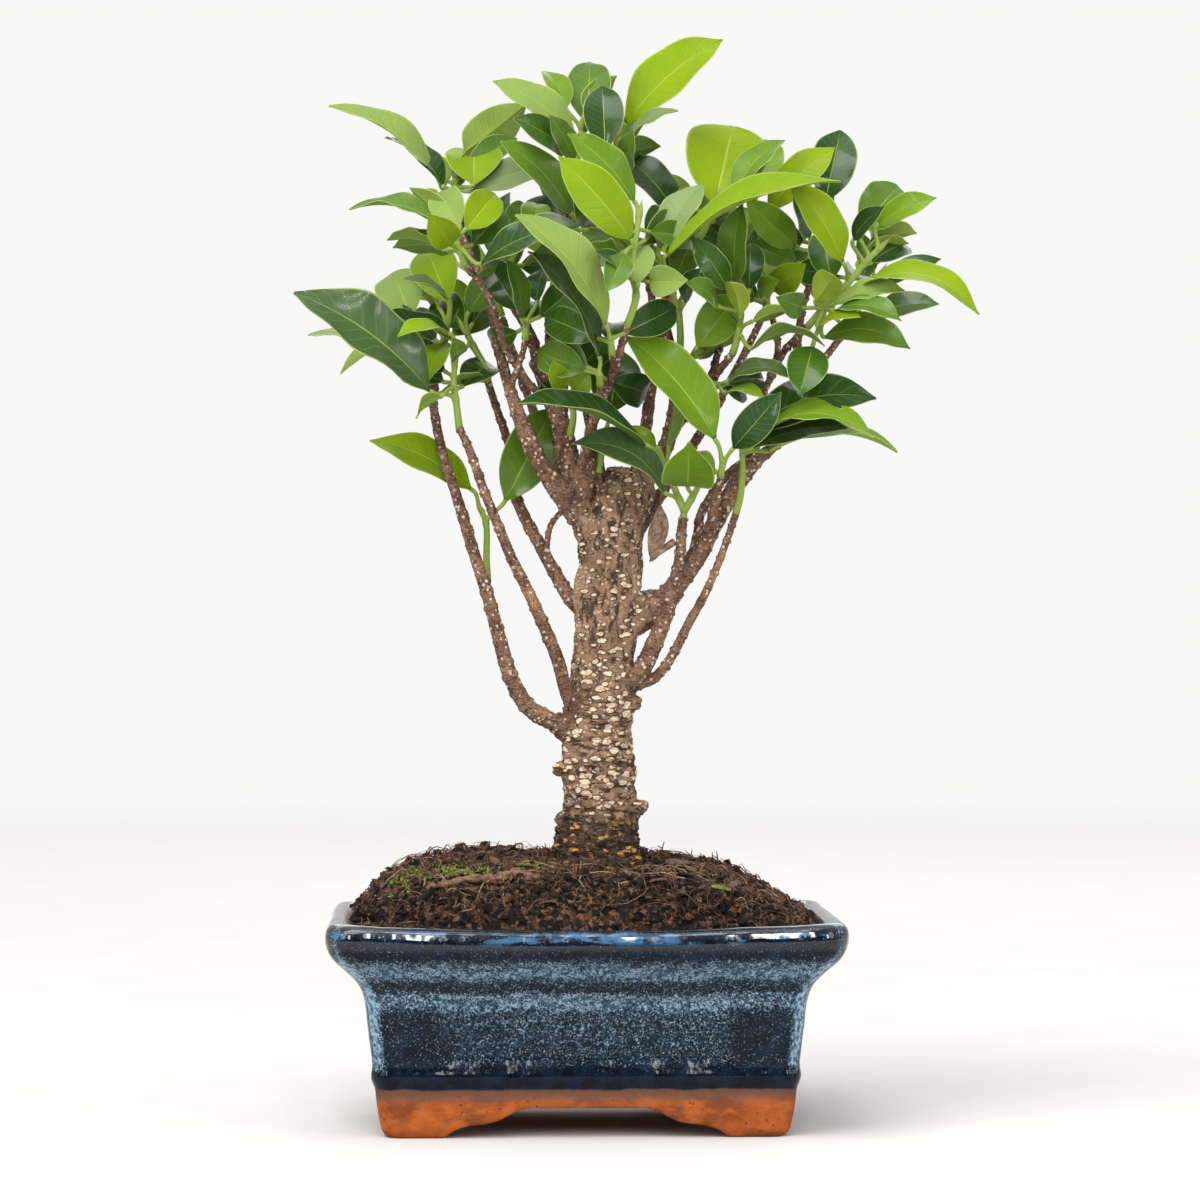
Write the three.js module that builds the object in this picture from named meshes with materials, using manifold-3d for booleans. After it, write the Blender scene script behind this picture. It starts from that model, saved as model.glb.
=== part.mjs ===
// An indoor fig bonsai in a glazed rectangular pot: the pot on its four bare feet, two drain screens, the soil,
// the tree's trunk with its woody branches, and the leafy shoots that grow from the ends of those branches.
// Millimetres, +Z up, the front of the pot towards -Y.
import * as THREE from "three";
import { mergeVertices } from "three/addons/utils/BufferGeometryUtils.js";
import Module from "manifold-3d";

const wasm = await Module();
wasm.setup();

// ---------------------------------------------------------------- driving dimensions
const LIP_HALF_X = 80; // the pot's rolled lip, half its length and half its depth
const LIP_HALF_Y = 56;
const LIP_CORNER = 10;
const FOOT_HEIGHT = 9.2; // from the surface to the pot's underside
const FLOOR_Z = 15.2; // the pot's inner floor
const SKIRT = 8.5; // how thick the feet are, from the outside in
const PANEL = { low: 23.4, high: 42.9, endGap: 23.5, depth: 1.0 }; // the sunk panel on each side
const LIP_SAG = 2.0; // the hand-made lip dips this far at the middle of its long sides
const DRAIN = { x: 32, radius: 6.5 };
const SCREEN = { side: 20, thick: 0.8, hole: 4.2, pitch: 5.6, count: 3 };
const GAP = 0.35; // between pieces that touch
const SOIL_EDGE_Z = 64;
const BLADE_THICK = 0.7;
const PETIOLE_RADIUS = 0.85;
const BLADE_FOLD = 0.3; // how far the edges of a blade rise above its rib, as a share of the half width

// The tree is laid out as it is seen from the front by an eye at this place. In every list below a point is
// [x, z, t]: x and z are read in the upright plane through the trunk, and t is how far the point lies in front
// of that plane, along the line of sight.
const TREE_X = 1.6; // the tree stands this far right of the pot's middle
const EYE = new THREE.Vector3(-43.5 + TREE_X, -1355, 165);
const EYE_DISTANCE = 1356;

function seen([x, z, t]) {
  return new THREE.Vector3(x + TREE_X, 0, z).lerp(EYE, t / EYE_DISTANCE);
}

// ---------------------------------------------------------------- solids
function solidOf(geometry) {
  const bare = geometry.clone();
  bare.deleteAttribute("normal");
  bare.deleteAttribute("uv");
  const merged = mergeVertices(bare, 1e-4);
  return new wasm.Manifold(
    new wasm.Mesh({
      numProp: 3,
      vertProperties: new Float32Array(merged.attributes.position.array),
      triVerts: new Uint32Array(merged.index.array),
    }),
  );
}

function geometryOf(solid) {
  const mesh = solid.getMesh();
  const geometry = new THREE.BufferGeometry();
  geometry.setAttribute("position", new THREE.BufferAttribute(new Float32Array(mesh.vertProperties), 3));
  geometry.setIndex(new THREE.BufferAttribute(new Uint32Array(mesh.triVerts), 1));
  geometry.computeVertexNormals();
  return geometry;
}

function indexed(points, index) {
  const geometry = new THREE.BufferGeometry();
  geometry.setAttribute("position", new THREE.Float32BufferAttribute(points.flatMap((p) => p.toArray()), 3));
  geometry.setIndex(index);
  return geometry;
}

// A closed skin over rings of points that all have the same count, its two ends filled from their first corner.
function loft(rings) {
  const count = rings[0].length;
  const index = [];
  for (let i = 0; i + 1 < rings.length; i++)
    for (let j = 0; j < count; j++) {
      const a = i * count + j;
      const b = i * count + ((j + 1) % count);
      index.push(a, b, b + count, a, b + count, a + count);
    }
  const last = (rings.length - 1) * count;
  for (let j = 1; j + 1 < count; j++) index.push(0, j + 1, j, last, last + j, last + j + 1);
  return indexed(rings.flat(), index);
}

// A round bar along points, with a radius at each point, its rings kept from twisting.
function bar(points, radii, sides) {
  const tangents = points.map((_, i) =>
    points[Math.min(i + 1, points.length - 1)].clone().sub(points[Math.max(i - 1, 0)]).normalize(),
  );
  let across = new THREE.Vector3(0, 1, 0).cross(tangents[0]);
  if (across.length() < 0.1) across = new THREE.Vector3(1, 0, 0);
  const rings = points.map((p, i) => {
    across.addScaledVector(tangents[i], -across.dot(tangents[i])).normalize();
    const over = tangents[i].clone().cross(across);
    return Array.from({ length: sides }, (_, j) => {
      const turn = (2 * Math.PI * j) / sides;
      return p
        .clone()
        .addScaledVector(across, radii[i] * Math.cos(turn))
        .addScaledVector(over, radii[i] * Math.sin(turn));
    });
  });
  return loft(rings);
}

function union(solids) {
  return wasm.Manifold.union(solids);
}

// The fused body alone: hollows that the fusing sealed are filled, and loose scraps are dropped.
function filled(solid) {
  return solid.decompose().reduce((best, piece) => (piece.volume() > best.volume() ? piece : best));
}

function node(name, solid, material) {
  const mesh = new THREE.Mesh(geometryOf(filled(solid).simplify(0.01)), material);
  mesh.name = name;
  return mesh;
}

// ---------------------------------------------------------------- pot
// A ring of the pot at one height: a rectangle with round corners, `inset` inside the lip's widest line.
const CORNER_STEPS = 3;
const LONG_SIDE_STEPS = 4;

function potRing(inset, z) {
  const halfX = LIP_HALF_X - inset;
  const halfY = LIP_HALF_Y - inset;
  const radius = LIP_CORNER - 0.25 * inset;
  const sagging = THREE.MathUtils.smoothstep(z, 52, 62);
  const ring = [];
  const put = (x, y) => {
    const middle = Math.abs(y) > halfY - radius ? 1 - (x / halfX) ** 2 : 0;
    ring.push(new THREE.Vector3(x, y, z - LIP_SAG * sagging * middle));
  };
  const corners = [
    [1, -1, -90],
    [1, 1, 0],
    [-1, 1, 90],
    [-1, -1, 180],
  ];
  for (const [signX, signY, from] of corners) {
    for (let i = 0; i <= CORNER_STEPS; i++) {
      const turn = THREE.MathUtils.degToRad(from + (90 * i) / CORNER_STEPS);
      put(signX * (halfX - radius) + radius * Math.cos(turn), signY * (halfY - radius) + radius * Math.sin(turn));
    }
    const onLongSide = signX === signY;
    for (let i = 1; onLongSide && i < LONG_SIDE_STEPS; i++)
      put(signX * (halfX - radius) * (1 - (2 * i) / LONG_SIDE_STEPS), signY * halfY);
  }
  return ring;
}

// [inset, z] up the outside, over the rolled lip and down the inside to the floor.
const POT_OUTSIDE = [
  [18.6, 0], [17, 2.4], [15.6, 10], [15.2, 15], [14.5, 16.2], [13.9, 18.8], [14.4, 22],
  [13, 33.7], [12, 42], [10.2, 47], [6.2, 51.5], [2.6, 55], [0.5, 58.6], [0, 62.4], [1, 65.6], [3.4, 66.8],
];
const POT_INSIDE = [[5.6, 66.1], [7, 64.2], [8.2, 60], [13.5, 50], [16.5, 40], [20.5, 17], [22, FLOOR_Z]];

// The inset of the outer wall at a height, between the heights of the list.
function wallInset(z) {
  const i = POT_OUTSIDE.findIndex((p) => p[1] >= z);
  const [[lowInset, lowZ], [highInset, highZ]] = [POT_OUTSIDE[i - 1], POT_OUTSIDE[i]];
  return lowInset + ((highInset - lowInset) * (z - lowZ)) / (highZ - lowZ);
}

// The tool that sinks one panel: it follows the leaning wall, `depth` inside it, and reaches out past it.
function panelTool(halfLength, halfLip) {
  const heights = [PANEL.low, 33.7, PANEL.high];
  const rings = heights.map((z) => {
    const wall = halfLip - wallInset(z) - PANEL.depth;
    return [[-halfLength, -wall - 12], [halfLength, -wall - 12], [halfLength, -wall], [-halfLength, -wall]].map(
      ([x, y]) => new THREE.Vector3(x, y, z),
    );
  });
  return solidOf(loft(rings));
}

// The tool that cuts the gap between two feet: flat on top, with a cloud-shaped step down each foot.
function footGapTool(topHalf, footHalf, through) {
  const run = footHalf - topHalf;
  const shape = new THREE.Shape();
  shape.moveTo(-footHalf - 1, -2);
  for (const sign of [-1, 1]) {
    const steps = [[1, 0.3], [0.9, 2.2], [0.68, 4.0], [0.5, 4.5], [0.26, 6.4], [0.12, 8.4], [0, FOOT_HEIGHT]];
    for (const [share, z] of sign < 0 ? steps : steps.reverse()) shape.lineTo(sign * (topHalf + run * share), z);
  }
  shape.lineTo(footHalf + 1, -2);
  const tool = new THREE.ExtrudeGeometry(shape, { depth: 2 * through, bevelEnabled: false });
  return solidOf(tool.translate(0, 0, -through).rotateX(Math.PI / 2));
}

function makePot() {
  const rings = [...POT_OUTSIDE, ...POT_INSIDE].map(([inset, z]) => potRing(inset, z));
  const underside = loft([potRing(17 + SKIRT, -2), potRing(16 + SKIRT, FOOT_HEIGHT)]);
  const quarter = (solid) => solid.rotate([0, 0, 90]);
  const half = (solid) => solid.rotate([0, 0, 180]);
  const longPanel = panelTool(LIP_HALF_X - 12 - PANEL.endGap, LIP_HALF_Y);
  const shortPanel = panelTool(LIP_HALF_Y - 12 - PANEL.endGap + 6, LIP_HALF_X);
  const drain = solidOf(new THREE.CylinderGeometry(DRAIN.radius, DRAIN.radius, 12, 20).rotateX(Math.PI / 2));
  return solidOf(loft(rings)).subtract(
    union([
      solidOf(underside),
      longPanel,
      half(longPanel),
      quarter(shortPanel),
      half(quarter(shortPanel)),
      footGapTool(18, 43, 90),
      quarter(footGapTool(8, 26, 90)),
      drain.translate([DRAIN.x, 0, 12]),
      drain.translate([-DRAIN.x, 0, 12]),
    ]),
  );
}

// A square of plastic net over one drain hole, lying on the pot's floor.
function makeScreen(x) {
  const plate = new THREE.BoxGeometry(SCREEN.side, SCREEN.side, SCREEN.thick);
  const holes = [];
  const first = (-SCREEN.pitch * (SCREEN.count - 1)) / 2;
  for (let i = 0; i < SCREEN.count; i++)
    for (let j = 0; j < SCREEN.count; j++) {
      const hole = new THREE.BoxGeometry(SCREEN.hole, SCREEN.hole, 4);
      holes.push(solidOf(hole.translate(first + SCREEN.pitch * i, first + SCREEN.pitch * j, 0)));
    }
  const lying = FLOOR_Z + GAP + SCREEN.thick / 2;
  return solidOf(plate).subtract(union(holes)).translate([x, 0, lying]);
}

// ---------------------------------------------------------------- trunk below and above the soil
// [x, z, radius] of the trunk, from its buried root stock to the sawn head.
const TRUNK = [
  [3.5, 50, 8.5], [3.4, 64, 12], [3.2, 76, 13.4], [3.3, 88, 12.6], [4.2, 98, 11.3], [3.2, 107, 11.2],
  [2.6, 116, 11.2], [3.2, 126, 11], [4.8, 136, 10.4], [5, 146, 9.8], [5.3, 156, 9.4], [7, 166, 9.4],
  [7.6, 176, 9.4], [7.8, 186, 9.9], [9, 195, 10.6], [11.6, 202, 9], [12.3, 206.5, 6],
];
const TRUNK_SIDES = 12;
const KNOBBY_ABOVE = 90;
// Burls and the stubs of old cuts: [x, z, t, radius].
const BURLS = [
  [-6, 125, 1, 5.5], [-8.6, 111.5, 2, 2.8], [16, 100, 3, 3.2], [14.4, 132.5, 4, 2.8], [13.2, 110, 3, 2.6],
  [0.5, 115.5, 7.6, 5.2], [7.5, 143, 6, 4.6], [4, 137, -6, 5.2], [10, 120, -7, 4.6], [-1, 104, -7.5, 4.4],
  [20, 163, 2, 6], [-1, 194, 2, 6], [15, 198, -4, 6.5], [6, 178, -6.5, 4.4],
];

function trunkRing([x, z, radius], grown) {
  return Array.from({ length: TRUNK_SIDES }, (_, j) => {
    const turn = (2 * Math.PI * j) / TRUNK_SIDES;
    const lumps = z > KNOBBY_ABOVE ? 0.05 * Math.sin(3 * turn + z * 0.13) + 0.04 * Math.sin(5 * turn - z * 0.31) : 0;
    const reach = radius * (1 + lumps) + grown;
    return new THREE.Vector3(x + TREE_X + reach * Math.cos(turn), reach * Math.sin(turn), z);
  });
}

// Woody branches: [x, z, t] points from inside the parent to the end, with the first and last radius.
// Each name that a shoot below grows on ends in a flat face.
const WOOD = {
  far_left: { points: [[-4, 124, 1], [-13, 127.5, 4], [-19.5, 132, 6], [-24.5, 141, 8], [-28, 153, 9],
    [-31.5, 166, 9], [-36, 180, 6], [-41.5, 198, 0], [-46, 212, -5], [-48.8, 227, -9], [-48.2, 233, -10]], from: 3, to: 1.3 },
  far_left_spur: { points: [[-30.6, 161, 9], [-31.4, 166.5, 6], [-31.7, 171, 2]], from: 1.4, to: 1 },
  left: { points: [[-1, 128, 3], [-6, 134, 5], [-9.5, 146, 7], [-14, 157, 9], [-19, 168, 10], [-24, 178, 11],
    [-28.5, 189, 12], [-33, 200, 13], [-36.5, 210, 13.5], [-38.5, 215, 14], [-40.5, 219, 14]], from: 2.3, to: 1.2 },
  left_mid: { points: [[0, 160, 0], [-5.5, 165.5, 0], [-9, 171, -1], [-14, 180, -5], [-21.8, 195, -13],
    [-23, 203, -16], [-25, 214, -16], [-28, 223, -14], [-31, 232, -10], [-33.5, 240, -7]], from: 2.5, to: 1.1 },
  bridge: { points: [[-13.2, 178.5, -4.5], [-12, 188, -2], [-7.5, 194, 1]], from: 0.9, to: 0.9 },
  fork: { points: [[4, 184, 1], [-1, 194, 2], [-5, 203, 2], [-7, 212, 2], [-8.5, 221, 1]], from: 6.8, to: 3 },
  fork_spur: { points: [[-6.5, 212, 3], [-5.6, 217, 6]], from: 1, to: 0.9 },
  left_high: { points: [[-3, 190, 3], [-9, 198, 6], [-14, 205.5, 7], [-19, 215, 7], [-22, 223, 6], [-24.5, 231, 5],
    [-26.5, 238, 3], [-28.7, 246, -2], [-30, 254, -6], [-34, 266, -13], [-38.5, 277, -18], [-40.5, 285, -20]], from: 2.7, to: 1.1 },
  left_high_twin: { points: [[-5, 198, 7], [-10.5, 204, 9], [-14, 209, 9.5], [-18, 217, 9], [-21.5, 225, 7.5],
    [-24, 231.5, 5.5]], from: 1.6, to: 1.2 },
  left_lean: { points: [[-12.5, 228.5, 2], [-17, 231.5, 5], [-22, 238, 8], [-26.5, 245.5, 11], [-28.5, 252, 13],
    [-32, 262, 17], [-38.5, 270.5, 20]], from: 1.2, to: 1 },
  left_inner: { points: [[-24.6, 231, 4.6], [-22.6, 237, 10.5], [-20.3, 244, 13], [-19.8, 247.5, 14]], from: 1, to: 0.9 },
  main_left: { points: [[-7, 214, 1], [-9, 222, 0.5], [-12.5, 230, 0], [-15, 238, 0], [-17, 245, 0], [-18.5, 249.5, -1],
    [-22.5, 256, -3], [-26.5, 262.5, -4]], from: 3.2, to: 1.2 },
  top_left: { points: [[-8, 219, 0], [-9.5, 230, -2], [-10.8, 238, -2], [-11.8, 246, -2], [-12, 256, -2], [-10, 268, -3],
    [-8, 282, -3], [-6, 296, -2]], from: 2.3, to: 1.1 },
  top_mid: { points: [[-9.3, 230, -2], [-8.4, 240, -3], [-8.6, 251, -5], [-6, 263, -8], [-3, 273.6, -10]], from: 1.8, to: 1.1 },
  top_stub: { points: [[-7.6, 238, -2], [-5.6, 247.5, -2]], from: 0.9, to: 0.9 },
  front: { points: [[-1, 197, 4], [-1.5, 206, 7], [-0.5, 212, 9], [1, 219, 12], [3.5, 226, 16], [6, 232, 20],
    [8.5, 238, 24], [10.5, 245, 27], [12.3, 251.5, 30]], from: 2.1, to: 1.1 },
  front_low_spur: { points: [[3.4, 225.5, 16], [3.8, 232.5, 23.5]], from: 1, to: 0.9 },
  front_high_spur: { points: [[8.2, 237, 23], [7.6, 242.5, 30]], from: 1, to: 0.9 },
  head_spur: { points: [[4, 198, 4], [3.4, 205.5, 7]], from: 1.3, to: 1 },
  top: { points: [[12, 199, -4], [16.5, 209, -6], [18.5, 220, -6], [19.7, 230, -6], [20.7, 238, -6], [21.5, 246, -6],
    [20.8, 256, -8], [18.5, 268, -10], [14, 282, -12], [9, 296, -12]], from: 2, to: 1 },
  main_right: { points: [[14, 199, -3], [21.5, 208, -4], [25.5, 216, -4], [27.5, 226, -4], [28, 234, -4], [26.5, 243, -4.5],
    [24.5, 252, -5], [25, 262, -5], [29.5, 271, -5], [35, 279, -4]], from: 2.9, to: 1.1 },
  centre_spur: { points: [[27.8, 233, -4], [28.8, 240.5, 6]], from: 1.1, to: 1 },
  mid_spur: { points: [[27.5, 226, -4], [31, 230, 0], [32.6, 235, 5], [32.8, 238.5, 8]], from: 1.1, to: 0.9 },
  right_mid: { points: [[26.3, 218, -4], [31, 223.5, 0], [35, 228, 4], [38.5, 232.5, 8], [41, 237, 10], [43.5, 240, 12],
    [45.8, 243, 14]], from: 1.7, to: 1.1 },
  right_mid_spur: { points: [[37.5, 231, 7], [40, 232.4, 14]], from: 1, to: 0.9 },
  right_inner: { points: [[34, 227, 2], [39, 236, -5], [41, 243, -10], [43.3, 252, -16], [43, 260, -20]], from: 1.3, to: 1 },
  right_neck: { points: [[10, 157, 1], [18, 161, 2], [24, 165, 2.5], [28, 169, 3]], from: 6, to: 3.4 },
  right: { points: [[26, 167, 3], [31, 173.5, 4], [35.5, 180, 5], [39, 187, 5], [42.5, 193, 4.5], [46, 199, 3.5],
    [50, 204.5, 2.5], [54, 209.5, 0], [58, 213, -3], [62, 217, -6], [64.5, 225, -9], [65.5, 236, -12], [66.5, 248, -14],
    [68, 258, -15], [71, 267, -16]], from: 3.1, to: 1.1 },
  right_back_stem: { points: [[28, 167.5, 1], [32, 176, -1], [34.5, 185, -2], [35.5, 191.5, -2], [39, 198, -2],
    [44, 204.5, -3], [50, 210, -5], [54, 220, -7], [55.5, 230, -7], [58, 236, -6], [60, 243, -6], [59.5, 250, -6],
    [57.5, 256, -5]], from: 1.6, to: 1 },
  right_out: { points: [[57.8, 235.5, -6], [59.5, 239, 0], [62, 243.5, 7], [66, 248, 12], [69.5, 251.5, 15]], from: 1.3, to: 1 },
  right_front: { points: [[25, 164, 4], [28, 173, 7], [29.2, 180, 9.5], [29.6, 187, 11], [30.2, 191, 12]], from: 2.1, to: 1.4 },
  right_front_out: { points: [[37, 182, 5], [38.8, 189, 11], [40, 195, 16], [41.2, 200, 20], [41.9, 204, 22]], from: 1.8, to: 1.1 },
  low_right: { points: [[10, 135, 2], [16, 138.3, 3], [20, 139.8, 3.5], [24, 143.5, 4.5], [28, 150, 5.5], [32, 158, 6.5],
    [36, 165, 7.5], [39.5, 172.5, 8.5], [42.5, 180, 9.5], [45, 187, 10.5], [46.8, 192.5, 11]], from: 1.8, to: 1.1 },
  low_right_strut: { points: [[10, 138, 3], [16, 142, 5], [19.5, 148, 6], [22.5, 155, 5.5], [25, 162, 4], [26, 166, 3.5]],
    from: 3.1, to: 2.3 },
  back_left: { points: [[2, 176, -4], [-6, 196, -16], [-14, 216, -29], [-22, 238, -41], [-27, 254, -48]], from: 2.2, to: 1.1 },
  back_mid_left: { points: [[6, 194, -5], [2, 214, -16], [-2, 236, -31], [-4, 254, -44], [-5, 268, -54]], from: 2.1, to: 1.1 },
  back_mid_right: { points: [[12, 194, -5], [17, 214, -18], [21, 236, -35], [25, 252, -50], [27, 262, -60]], from: 2.1, to: 1.1 },
  back_right: { points: [[12, 180, -4], [24, 200, -16], [37, 220, -30], [48, 240, -42], [56, 256, -51]], from: 2.1, to: 1.1 },
  back_far_right: { points: [[12, 156, -4], [25, 168, -14], [36, 184, -24], [47, 204, -32], [60, 224, -38], [72, 238, -42],
    [80, 248, -45]], from: 2.4, to: 1.1 },
};
const WOOD_SIDES = 4;

// The radius shrinks fast near the parent and slowly further out.
function woodBar({ points, from, to }) {
  const kept = points.filter((_, i) => i % 2 === 0 || i === points.length - 1 || points.length < 6);
  const path = kept.map(seen);
  const last = path.length - 1;
  return solidOf(bar(path, path.map((_, i) => to + (from - to) * (1 - i / last) ** 1.4), WOOD_SIDES));
}

function makeTree() {
  const trunk = solidOf(loft(TRUNK.map((row) => trunkRing(row, 0))));
  const burls = BURLS.map(([x, z, t, radius]) => {
    const ball = new THREE.IcosahedronGeometry(radius, radius > 5 ? 1 : 0);
    return solidOf(ball.scale(1, 1, 0.85).translate(...seen([x, z, t]).toArray()));
  });
  return union([trunk, ...burls, ...Object.values(WOOD).map(woodBar)]);
}

// ---------------------------------------------------------------- soil and the root that lies on it
function soilHeight(x, y) {
  const reach = ((Math.abs(x) / 73) ** 4 + (Math.abs(y) / 49) ** 4) ** 0.25;
  const falling = (x > 0 ? 0.006 : 0.003) * Math.max(0, Math.abs(x) - 25) ** 2;
  const heap = (17.5 - 0.03 * x + 0.07 * y - falling) * (1 - Math.min(reach, 1) ** 9);
  const clods = 0.7 * Math.sin(x * 0.31 + 1.3) * Math.cos(y * 0.37) + 0.5 * Math.sin(x * 0.13 - y * 0.21);
  return SOIL_EDGE_Z + heap + clods * Math.min(1, 3 * (1 - Math.min(reach, 1)));
}

const SURFACE_ROOT = [[-49, -37], [-42, -36.5], [-34, -36], [-27, -34], [-20, -33], [-14.5, -34.5]];
const SURFACE_ROOT_RADII = [0.8, 1, 1.2, 1.6, 1.7, 1.1];

function surfaceRoot(grown) {
  const path = SURFACE_ROOT.map(([x, y]) => new THREE.Vector3(x, y, soilHeight(x, y) + 0.5));
  return solidOf(bar(path, SURFACE_ROOT_RADII.map((r) => r + grown), 6));
}

function makeSoil() {
  const wall = POT_INSIDE.slice(2).reverse().map(([inset, z]) => [inset + 0.5, z === FLOOR_Z ? z + GAP : z]);
  const rings = wall.map(([inset, z]) => potRing(inset, z));
  const edge = potRing(POT_INSIDE[1][0] + 1.2, SOIL_EDGE_Z - 1.2);
  for (const share of [1, 0.97, 0.9, 0.76, 0.54, 0.3])
    rings.push(edge.map((p) => new THREE.Vector3(p.x * share, p.y * share, soilHeight(p.x * share, p.y * share))));
  const hole = solidOf(loft(TRUNK.slice(0, 5).map((row, i) => trunkRing([row[0], row[1] - (i ? 0 : GAP), row[2]], GAP + 0.05))));
  const screenPocket = new THREE.BoxGeometry(SCREEN.side + 1, SCREEN.side + 1, SCREEN.thick + 2 * GAP);
  const pocket = solidOf(screenPocket.translate(0, 0, FLOOR_Z + GAP + SCREEN.thick / 2));
  return solidOf(loft(rings)).subtract(
    union([hole, surfaceRoot(GAP), pocket.translate([DRAIN.x, 0, 0]), pocket.translate([-DRAIN.x, 0, 0])]),
  );
}

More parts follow.
